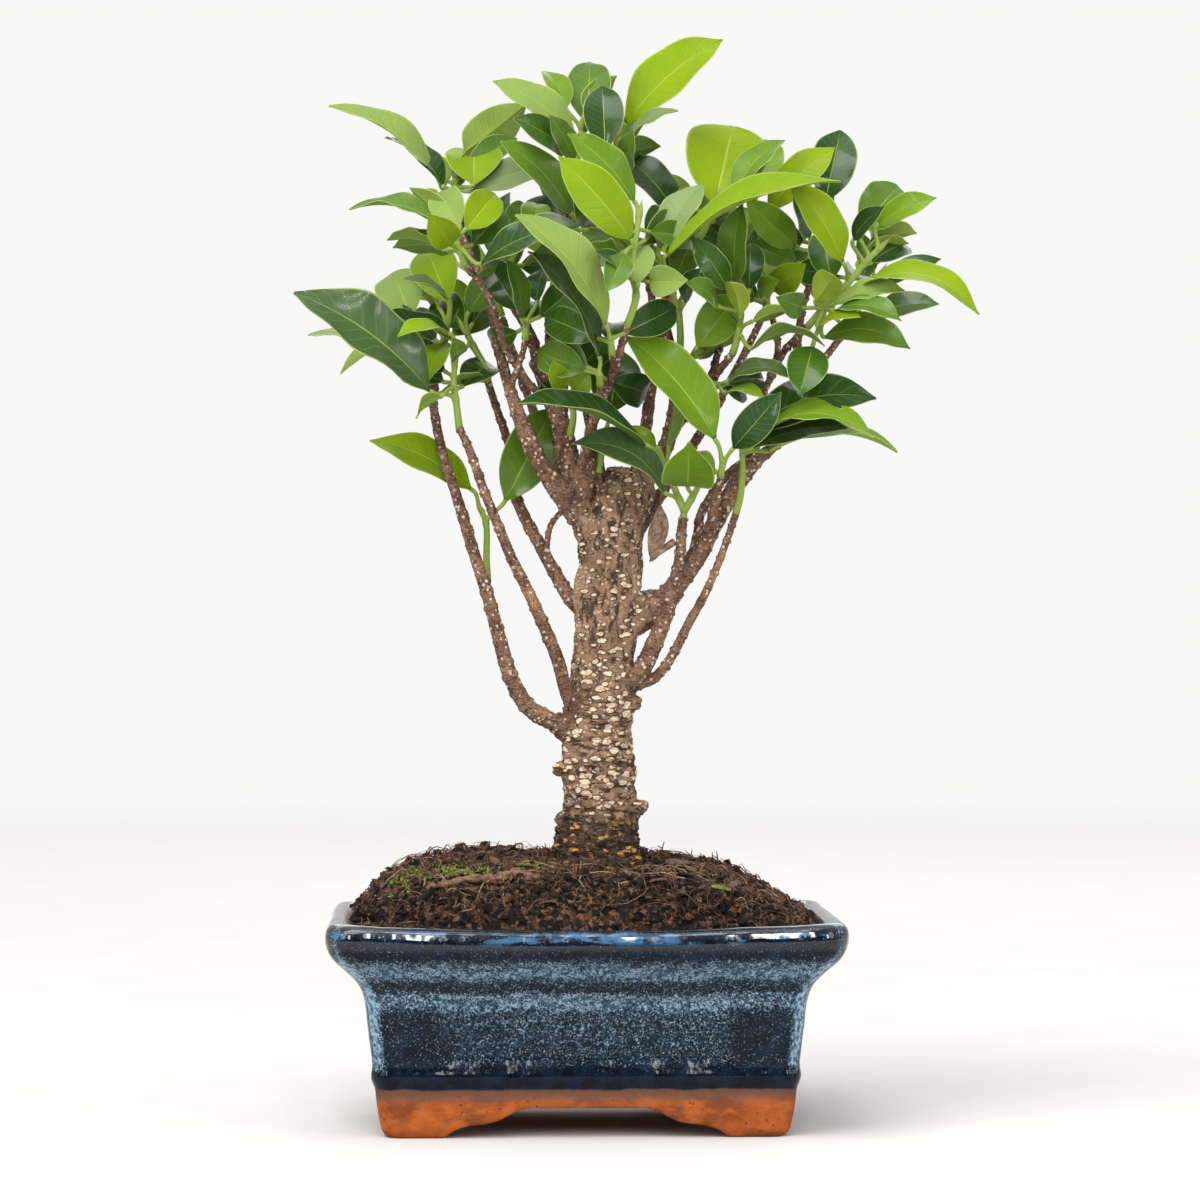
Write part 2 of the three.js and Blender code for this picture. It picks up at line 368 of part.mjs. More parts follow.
// ---------------------------------------------------------------- leafy shoots
// Each shoot has its green stems, which start just off the end of a woody branch, and its leaves. A leaf is
// [base, tip, width, arch]: base and tip are [x, z, t]; the width is how wide the blade shows from the front, and
// less than nought where its underside shows; the arch is how far its middle rises over the line from base to tip,
// as a share of that line, 0.1 where it's left out.
const SHOOTS = {
  far_left: {
    stems: [[[-48.2, 233.4, -10], [-47.5, 239, -9], [-46, 245, -7], [-44.5, 251, -5]]],
    leaves: [
      [[-54, 239, -8], [-88, 249.5, -18], 6], [[-53, 240.5, 2], [-78, 237, 12], 3, 0.22],
      [[-45, 246, 3], [-50, 235, 18], 7], [[-51, 244, -4], [-58, 247.5, -1], 2],
      [[-44, 259, -8], [-51, 276, -32], 14],
      [[-47, 257, -12], [-54, 263, -30], -5], [[-55.5, 254.5, -14], [-62, 268.5, -30], 14],
      [[-44.2, 260, -2], [-58, 266.5, 8], 2.4],
    ],
  },
  left: {
    stems: [[[-40.6, 219.4, 14], [-41.4, 226, 15], [-42.3, 233, 15], [-42, 239, 14]]],
    leaves: [
      [[-50, 231, 20], [-92, 262.5, 26], 15], [[-41.6, 241, 18], [-42.5, 247.5, 32], 5], [[-44, 249, 18], [-60, 248.5, 30], 3, 0.16],
      [[-46.5, 229, 24], [-54.5, 222.5, 36], -3],
    ],
  },
  left_twig: {
    stems: [[[-31.7, 171.5, 1.8], [-32, 178, 0], [-32, 188, -2], [-33.5, 193, -4]]],
    leaves: [[[-37, 200, -8], [-68.5, 216, -14], 10], [[-26, 196.5, -3], [-11, 226, -12], 15]],
  },
  left_mid: {
    stems: [[[-33.6, 240.4, -7], [-35.5, 244, -6], [-38, 248.5, -5]]],
    leaves: [
      [[-40, 245, 4], [-67, 254.5, 10], 4], [[-32, 234, 2], [-47.5, 230, 14], -3],
      [[-37.5, 256, 0], [-28, 270.5, 5], 9], [[-36.5, 252, -12], [-29, 265, -28], 5],
    ],
  },
  left_high: {
    stems: [[[-40.6, 285.4, -20], [-41.5, 291, -19], [-41.5, 298, -18]]],
    leaves: [
      [[-48, 299, -18], [-81, 321.5, -12], 6], [[-46, 295.5, -13], [-63.5, 311.5, -30], 5],
      [[-39, 306, -22], [-19.5, 321.5, -36], -13], [[-36, 296, -10], [-36, 307, -34], 17],
      [[-45, 295, -25], [-50, 305, -40], -6], [[-36, 294, -12], [-11, 301.5, -24], 9],
    ],
  },
  left_lean: {
    stems: [[[-38.7, 270.9, 20], [-40, 274, 21], [-41.3, 278, 21.5]]],
    leaves: [
      [[-40.5, 283, 22], [-47, 294, 8], 10.5], [[-38.5, 282, 23], [-29, 293.5, 9], 10.5],
      [[-43, 277, 25], [-50, 286.5, 42], 9], [[-45, 281.5, 20], [-75, 289, 12], 3.5, 0.14],
      [[-45.5, 284, 16], [-53, 294, 2], -4], [[-46, 275.5, 18], [-63, 279, 6], -2.5],
      [[-33.5, 271, 25], [-2, 284, 34], 8], [[-36.5, 277, 17], [-26.5, 288.5, 2], 10],
    ],
  },
  left_inner: {
    stems: [[[-19.8, 247.9, 14], [-19.4, 252, 15]]],
    leaves: [
      [[-21, 254, 18], [-25.5, 272.5, 26], 5.5], [[-15, 254.5, 16], [-5, 263, -2], 10],
      [[-16, 259, 12], [-13, 270.5, -2], 6],
    ],
  },
  main_left: {
    stems: [[[-26.6, 262.9, -4], [-25, 269, -3], [-23, 275, -2]]],
    leaves: [[[-26, 280, -2], [-19, 290, -16], 8.5], [[-17.5, 281, 2], [-16, 290.5, -14], 9]],
  },
  top_left: {
    stems: [[[-5.9, 296.4, -2], [-4, 302, -2], [-2.6, 308, -2.5], [-2, 313, -3]]],
    leaves: [
      [[-4, 311, 2], [-29.5, 329, 8], 9], [[0, 315, -7], [0.5, 335.5, -28], 13],
      [[-7, 320, -5], [-14, 332.5, -19], 6.5], [[-7, 306, 3], [-23, 317, 20], 8], [[-4.5, 304, 6], [-12, 318, 16], 6.5],
    ],
  },
  top_mid: {
    stems: [[[-3, 274.4, -10], [-3.2, 279, -6], [-4, 284, -2]]],
    leaves: [[[-5.5, 287, 4], [-27, 310, 16], 9], [[0.5, 283, 4], [-3, 297, 20], 8]],
  },
  front: {
    stems: [[[12.4, 251.9, 30], [14, 256, 31], [15.2, 261, 32], [14.6, 266, 32], [14.2, 272, 31], [15, 279, 28], [16, 285, 25]]],
    leaves: [
      [[15.8, 265, 38], [15.5, 277, 22], 10], [[19.5, 265.5, 36], [31, 266, 52], 9], [[11.5, 274, 36], [6, 262.5, 48], 8],
      [[11, 268, 35], [3, 275, 46], 3], [[9.5, 280, 31], [-6, 276, 35], 4], [[13.5, 279, 32], [-9, 305, 38], 13],
      [[14.5, 291, 22], [-6, 312.5, 26], 9],
    ],
  },
  front_low: { stems: [[[3.8, 233, 24], [3.6, 237, 26.5]]], leaves: [[[3.5, 242, 27], [-18, 275.5, 33], 6.5]] },
  front_high: { stems: [[[7.6, 243, 30.4], [7.2, 247, 33]]], leaves: [[[5.5, 252, 37], [-22, 287, 50], 9.5]] },
  head: {
    stems: [[[3.4, 205.9, 7], [4.4, 212, 6], [5.8, 219, 4]]],
    leaves: [[[7, 224, 3], [10, 244.5, -7], 15]],
  },
  fork: {
    stems: [[[-5.5, 217.4, 6], [-4.6, 223, 7.5], [-5, 228, 8.5]]],
    leaves: [[[-7.5, 232, 10], [-11, 240.5, 23], 6.5], [[-4, 231, 12], [0.5, 236.5, 22], 7], [[-3.5, 237, 6], [6.5, 248, -4], 9]],
  },
  top: {
    stems: [[[9, 296.4, -12], [8.5, 301, -11], [8.2, 305, -10], [9.4, 311, -9]]],
    leaves: [
      [[5.5, 308, 2], [4.5, 327.5, -6], 12], [[12, 315.5, -8], [42, 342.5, -2], 13], [[12, 310, -2], [28, 320, 10], 3],
      [[13, 301, 2], [14, 313, 16], 5.5],
    ],
  },
  main_right: {
    stems: [[[35.2, 279.4, -4], [37.4, 283, -3], [39, 289, -1]]],
    leaves: [
      [[40, 290, 2], [46, 315.5, -24], 24.5], [[30.5, 290, -8], [22.5, 299.5, -24], -8], [[46, 293, 4], [62, 311, -6], 7],
      [[28.5, 285.5, -13], [10, 306, -28], 10],
    ],
  },
  centre: {
    stems: [[[28.9, 240.9, 6], [29.2, 249, 8], [28.5, 256, 11], [26.6, 262, 14], [24.6, 268, 17]]],
    leaves: [
      [[25, 274, 22], [79.5, 299, 34], 5.5], [[22.5, 276, 16], [36.5, 296.5, 6], 9], [[19.5, 277, 12], [25, 290, -2], 9],
      [[27.5, 266, 12], [33, 279.5, -2], 9.5], [[30.5, 259, 16], [35.4, 269.8, 28.2], 4.6], [[32.2, 263.2, 7], [44, 267.6, 18], -4],
    ],
  },
  mid: {
    stems: [[[32.8, 238.9, 8], [32.5, 241, 9]]],
    leaves: [[[34.5, 245, 13], [47, 261, 5], 12]],
  },
  right_mid: {
    stems: [[[45.9, 243.4, 14], [47, 247, 15], [48, 252, 15.5], [48.6, 258, 15]]],
    leaves: [
      [[47, 265, 17], [48.5, 290.5, 25], 8.5], [[44.5, 263, 20], [33, 279.5, 26], 8], [[51, 263, 12], [51.5, 278, 0], 8.5],
      [[48, 255, 21], [45, 266, 35], -6], [[52, 253, 19], [64, 257, 21], -4], [[52, 244.5, 19], [75, 246, 26], -3, 0.22],
      [[41, 258, 22], [31.5, 265.5, 37], 5],
    ],
  },
  right_mid_low: {
    stems: [[[40.3, 232.7, 14], [41.5, 233, 16]]],
    leaves: [[[44.5, 234, 19], [65, 235.5, 26], 4.5, 0.22], [[43.5, 230.5, 20], [56, 229, 28], 2.5, 0.15]],
  },
  right_inner: {
    stems: [[[43, 260.4, -20], [45, 268, -21], [48, 276, -22], [52, 283, -22]]],
    leaves: [
      [[57, 288, -13], [78, 308.5, -13], 10.5], [[53, 292, -24], [57, 311, -42], 12], [[41, 272, -24], [31, 286, -40], 12],
    ],
  },
  right: {
    stems: [[[71.1, 267.4, -16], [71.5, 272, -16], [72.5, 278, -17], [73.5, 284, -18]]],
    leaves: [
      [[75, 291, -22], [80, 314, -34], 13.5], [[70, 280, -10], [65, 296, 6], 7.5], [[65.5, 277, -10], [50, 291.5, 0], 10],
      [[66, 271.5, -11], [50.5, 278, -9], 7.5],
    ],
  },
  right_stem: {
    stems: [[[57.4, 256.4, -5], [56.6, 259, -4]]],
    leaves: [[[58.5, 263, 1], [68.5, 271, 16], 9], [[54, 262, 4], [60, 266, 18], 5.5]],
  },
  right_out: {
    stems: [[[69.9, 251.8, 15], [73, 255.5, 16], [76, 259, 16], [80, 263, 15], [84, 267, 13], [87, 271, 11], [91, 275, 9]]],
    leaves: [
      [[80.5, 272, 20], [64, 297.5, 26], 10], [[86, 282, 6], [98.5, 296.5, -10], 13.5], [[84, 279, 14], [93.5, 289.5, 26], 5.5],
      [[92, 284, 10], [110, 292.5, 20], 7], [[88, 276.5, 3], [103.5, 281.5, -14], -5], [[86, 272, 6], [101, 278.3, -6], -3.5],
      [[72, 259.5, 20], [78, 268, 32], -9], [[78, 258.5, 20], [100, 263.5, 28], 5], [[85, 263.5, 19], [124, 256.5, 30], 5.5, 0.22],
      [[78, 256.5, 23], [99, 254, 38], 5, 0.14], [[73, 251.5, 22], [86, 255, 36], 3], [[75, 248, 17], [102, 245, 22], 8.5, 0.25],
      [[71, 245, 19], [67, 230, 30], 12], [[67.5, 257.5, 22], [60, 260.5, 38], 8], [[77, 266, 12], [74, 282, 0], 10.5],
    ],
  },
  right_front: {
    stems: [[[30.2, 191.4, 12], [30.4, 194, 13]], [[30.4, 193, 12.7], [27.5, 200, 14], [24.8, 207, 15]],
      [[30.4, 193, 12.7], [33, 197.5, 14], [36, 203, 15]]],
    leaves: [
      [[24, 199, 20], [-5, 215, 26], 8.5, 0.23], [[18, 214, 24], [-22, 228, 38], 4.5], [[31.5, 201, 21], [32, 214, 44], 15],
      [[40, 206, 24], [30, 211, 36], -5], [[25.5, 214, 12], [25, 246, 14], -5], [[21.5, 213.5, 17], [13, 220, 20], 4],
    ],
  },
  right_front_out: {
    stems: [[[41.9, 204.4, 22], [42.6, 208, 23]]],
    leaves: [[[40, 216, 25], [12, 249, 20], 13.5], [[46, 213, 26], [61, 230.5, 34], 10]],
  },
  low_right: {
    stems: [[[46.9, 192.9, 11], [48.2, 198, 12], [48.9, 205, 13], [48.8, 211, 14]]],
    leaves: [
      [[52, 218.5, 12], [91, 229.5, 18], 12.5, 0.2], [[54, 217.5, 21], [91, 217, 32], 5.5, 0.2],
      [[52.5, 213, 18], [82, 220, 22], 6.5], [[57, 212, 9], [98, 213, 6], 4.5, 0.15],
    ],
  },
};

// Shoots behind the trunk, out of sight from the front: where the stem starts, which way and how far it grows, how
// many leaves stand around it, which of them are left out, and how long the lowest blade is.
const BACK_SHOOTS = {
  back_left: { from: [-27.1, 254.5, -48.3], way: [-0.32, 1, -0.12], long: 18, leaves: 6, size: 27 },
  back_mid_left: { from: [-5, 268.5, -54.4], way: [-0.06, 1, -0.22], long: 22, leaves: 6, size: 27 },
  back_mid_right: { from: [27.1, 262.8, -60.5], way: [0.04, 1, -0.22], long: 22, leaves: 6, size: 27 },
  back_right: { from: [56.2, 256.6, -51.4], way: [0.1, 1, -0.22], long: 17, leaves: 6, size: 20 },
  back_far_right: { from: [80.3, 248.4, -45.1], way: [0.62, 1, -0.05], long: 21, leaves: 6, size: 23 },
};

// [share of the length, share of the half width] of a blade, from the petiole to the drip tip.
const LONG_BLADE = [[0.2, 0.76], [0.5, 1], [0.82, 0.63], [1, 0.05]];
const SHORT_BLADE = [[0.33, 0.95], [0.74, 0.8], [1, 0.06]];
const FULLER = 1.1; // blades are this much wider than the width that was read, which leaves out their curled edges
const LONG = 41; // blades longer than this are folded along the rib, the others are flat across
const ATTACH = 7; // a petiole leaves the stem this far below its blade, or as near to that as it can
const BLADE_RATIO = 0.44; // width over length of a leaf seen face on

// The way a leaf's upper face looks, and its full width, from how wide it shows.
function pose(base, tip, shown) {
  const along = tip.clone().sub(base);
  const length = along.length();
  along.normalize();
  const toEye = EYE.clone().sub(base).normalize();
  toEye.addScaledVector(along, -toEye.dot(along)).normalize();
  const aside = along.clone().cross(toEye);
  if (aside.z + 0.002 * aside.x * Math.sign(base.x) < 0) aside.negate();
  const width = Math.max(Math.abs(shown) * FULLER, Math.min(BLADE_RATIO * length, 22));
  const turn = Math.acos((shown * FULLER) / width);
  const face = toEye.multiplyScalar(Math.cos(turn)).addScaledVector(aside, Math.sin(turn));
  return { along, face, length, width };
}

// The nearest place on the stems to a point.
function nearestOn(stems, point) {
  let best = null;
  for (const stem of stems)
    for (let i = 0; i + 1 < stem.length; i++) {
      const place = new THREE.Line3(stem[i], stem[i + 1]).closestPointToPoint(point, true, new THREE.Vector3());
      if (!best || place.distanceTo(point) < best.distanceTo(point)) best = place;
    }
  return best;
}

// One leaf in one piece: its petiole from inside the stem, and the blade that widens from it.
function leafSolid(stems, base, tip, shown, arch = 0.1) {
  const { along, face, length, width } = pose(base, tip, shown);
  const across = along.clone().cross(face);
  const folded = length > LONG;
  const ring = (rib, half, fold, thick) => {
    const at = (side, up) => rib.clone().addScaledVector(across, side).addScaledVector(face, up);
    const top = folded ? [at(-half, fold), at(0, 0), at(half, fold)] : [at(-half, 0), at(half, 0)];
    return [...top, ...top.map((p) => p.clone().addScaledVector(face, -thick)).reverse()];
  };
  const start = nearestOn(stems, base.clone().addScaledVector(along, -ATTACH));
  const rings = [ring(start, PETIOLE_RADIUS * 0.6, 0, PETIOLE_RADIUS), ring(base, PETIOLE_RADIUS * 0.85, 0, PETIOLE_RADIUS * 1.5)];
  for (const [share, spread] of folded ? LONG_BLADE : SHORT_BLADE) {
    const half = Math.max(0.45, (spread * width) / 2);
    const rise = 4 * arch * length * share * (1 - share) - 0.03 * length * share ** 3;
    const rib = base.clone().addScaledVector(along, share * length).addScaledVector(face, rise);
    rings.push(ring(rib, half, BLADE_FOLD * half, BLADE_THICK));
  }
  return solidOf(loft(rings));
}

function stemBar(points) {
  points[0].add(points[1].clone().sub(points[0]).setLength(0.4));
  return solidOf(bar(points, points.map((_, i) => 1.2 - (0.35 * i) / (points.length - 1)), 4));
}

function makeShoot({ stems, leaves }) {
  const paths = stems.map((stem) => stem.map(seen));
  const bars = paths.map(stemBar);
  paths[0][0].add(paths[0][1].clone().sub(paths[0][0]).setLength(2.2)); // no petiole down where the wood ends
  return union([
    ...bars,
    ...leaves.map(([base, tip, shown, arch]) => leafSolid(paths, seen(base), seen(tip), shown, arch)),
  ]);
}

// Whole numbers that look random, the same at every run.
function* dice(seed) {
  for (let n = seed; ; ) {
    n = (n * 1103515245 + 12345) % 2147483648;
    yield (n / 2147483648) * 2 - 1;
  }
}

// Leaves around a stem, each a golden turn further, the lower ones longer and more spread.
function makeBackShoot({ from, way, long, leaves, size, skip = [] }, seed) {
  const rolls = dice(seed);
  const roll = () => rolls.next().value;
  const start = seen(from);
  const up = new THREE.Vector3(way[0], -way[2], way[1]).normalize();
  const path = [0, 0.5, 1].map((share) => start.clone().addScaledVector(up, share * long));
  const aside = up.clone().cross(new THREE.Vector3(0, 1, 0)).normalize();
  const solids = [stemBar(path)];
  for (let i = 0; i < leaves; i++) {
    const share = (i + 0.6) / leaves;
    const out = aside.clone().applyAxisAngle(up, 2.4 * i + 0.35 * roll());
    const open = 1.15 - 0.65 * share + 0.12 * roll();
    const along = up.clone().multiplyScalar(Math.cos(open)).addScaledVector(out, Math.sin(open));
    const base = path[0].clone().lerp(path[2], share).addScaledVector(along, 7);
    const length = size * (1 - 0.2 * share) + 2 * roll();
    if (!skip.includes(i)) solids.push(leafSolid([path], base, base.clone().addScaledVector(along, length), 0.3 * length, 0.12));
  }
  return union(solids);
}

// A dried leaf caught between the trunk and a branch, on its own bit of petiole.
const DEAD_LEAF = { stems: [[[26.6, 183, 9.5], [23, 180.5, 10.5], [20.5, 178.5, 10.5]]], leaves: [[[20, 177.5, 10.5], [22.5, 195.5, 9], 9, -0.12]] };

// ---------------------------------------------------------------- the part
function material(color, roughness) {
  return new THREE.MeshStandardMaterial({ color, roughness, metalness: 0 });
}

const leafGreen = material(0x3f8f2c, 0.3);
const part = new THREE.Group();
part.add(
  node("pot", makePot(), material(0x2c4a72, 0.15)),
  node("drain_screen_left", makeScreen(-DRAIN.x), material(0x2a2a2a, 0.6)),
  node("drain_screen_right", makeScreen(DRAIN.x), material(0x2a2a2a, 0.6)),
  node("soil", makeSoil(), material(0x3a281e, 0.95)),
  node("surface_root", surfaceRoot(0), material(0x8a5f3c, 0.85)),
  node("trunk_and_branches", makeTree(), material(0x7d6450, 0.85)),
  node("dead_leaf", makeShoot(DEAD_LEAF), material(0x8c6a45, 0.8)),
);
for (const [name, shoot] of Object.entries(SHOOTS)) part.add(node(`shoot_${name}`, makeShoot(shoot), leafGreen));
Object.entries(BACK_SHOOTS).forEach(([name, shoot], i) =>
  part.add(node(`shoot_${name}`, makeBackShoot(shoot, 11 + 7 * i), leafGreen)),
);

// The origin is on the surface the pot stands on, under the middle of the whole plant's outline.
const outline = new THREE.Box3().setFromObject(part, true);
const middle = outline.getCenter(new THREE.Vector3());
part.position.set(-middle.x, -middle.y, -outline.min.z);

export default part;
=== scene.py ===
"""A small fig tree in a glazed pot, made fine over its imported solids.

The tree is laid out as it is seen from the front by an eye at EYE. In the tables a point is (x, z, t): x and
z are read in the upright plane through the trunk, and t is how far the point lies in front of that plane,
along the line of sight. Sizes are millimetres in the pot's own frame; meshes are written in metres, in the
row frame.
"""
from __future__ import annotations

import logging
import math
import random
from dataclasses import dataclass, field
from enum import Enum
from typing import Sequence

import bmesh
import bpy
import numpy as np
from mathutils import Matrix, Vector, kdtree, noise


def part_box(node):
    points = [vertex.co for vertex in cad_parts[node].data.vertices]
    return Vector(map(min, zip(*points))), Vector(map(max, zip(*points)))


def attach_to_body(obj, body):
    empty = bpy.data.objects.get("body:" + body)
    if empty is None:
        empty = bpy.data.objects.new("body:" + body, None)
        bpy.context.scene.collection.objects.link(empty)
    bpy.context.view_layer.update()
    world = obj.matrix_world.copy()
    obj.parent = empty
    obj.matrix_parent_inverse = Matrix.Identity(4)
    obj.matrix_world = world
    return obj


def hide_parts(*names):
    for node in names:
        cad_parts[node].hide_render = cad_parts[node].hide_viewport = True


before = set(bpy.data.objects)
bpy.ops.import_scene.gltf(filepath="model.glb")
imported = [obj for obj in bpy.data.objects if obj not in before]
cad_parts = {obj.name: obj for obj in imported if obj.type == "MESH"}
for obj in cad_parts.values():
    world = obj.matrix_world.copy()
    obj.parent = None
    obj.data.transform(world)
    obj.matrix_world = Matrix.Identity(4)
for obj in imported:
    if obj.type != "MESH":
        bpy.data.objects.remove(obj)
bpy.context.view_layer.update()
log = logging.getLogger("bonsai")

MM = 0.001
POT_LOW, POT_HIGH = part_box("pot")
ORIGIN = Vector(((POT_LOW[0] + POT_HIGH[0]) / 2, (POT_LOW[1] + POT_HIGH[1]) / 2, 0.0)) / MM
TREE_X = 1.6
EYE = Vector((-43.5 + TREE_X, -1355.0, 165.0))
EYE_DISTANCE = 1356.0
AIM = Vector((3.8 + TREE_X, 0.0, 165.0))
LENS_MM = 128.9
# The draws that place the rear leaves, the same as those of the solids.
ROLL_FACTOR, ROLL_STEP, ROLL_PERIOD = 1103515245.0, 12345.0, 2147483648.0

Point = tuple[float, float, float]
Pair = tuple[float, float]
Face = tuple[int, ...]
Marks = np.ndarray | Point


# ------------------------------------------------------------------ layout tables
class Tone(Enum):
    """How a leaf is coloured: (yellow-green share, pale share, blue share). The yellow-green share is the
    leaf's own colour; the pale share is a painted pale sheen and the blue share a painted blue glare,
    reflections off the wax laid into the colour.
    """

    LIME = (0.78, 0.05, 0.0)
    LIME_SHEEN = (0.7, 0.55, 0.0)
    FRESH = (0.58, 0.08, 0.0)
    MID = (0.42, 0.1, 0.1)
    DEEP = (0.26, 0.0, 0.2)
    DARK = (0.1, 0.0, 0.4)
    BLUE_GLARE = (0.12, 0.15, 0.8)
    PALE_SHEEN = (0.45, 0.8, 0.5)
    GREY_GLARE = (0.3, 0.65, 0.6)


# LP and P carry painted pale sheen, G painted grey glare and B painted blue glare.
L, LP, F, M = Tone.LIME, Tone.LIME_SHEEN, Tone.FRESH, Tone.MID
E, D, B, P, G = Tone.DEEP, Tone.DARK, Tone.BLUE_GLARE, Tone.PALE_SHEEN, Tone.GREY_GLARE


@dataclass(frozen=True)
class Leaf:
    """One leaf: where its blade starts and ends, how wide it shows (below 0: from below), tone and arch."""

    base: Point
    tip: Point
    shown: float
    tone: Tone
    arch: float = 0.1


@dataclass(frozen=True)
class Spray:
    """The green stems of one shoot and the leaves on them."""

    stems: tuple[tuple[Point, ...], ...]
    leaves: tuple[Leaf, ...]


@dataclass(frozen=True)
class RearSpray:
    """A shoot behind the trunk: leaves around one stem."""

    start: Point
    way: Point
    long: float
    leaves: int
    size: float


@dataclass(frozen=True)
class Bough:
    """One woody branch: its course and its first and last radius."""

    points: tuple[Point, ...]
    start: float
    end: float


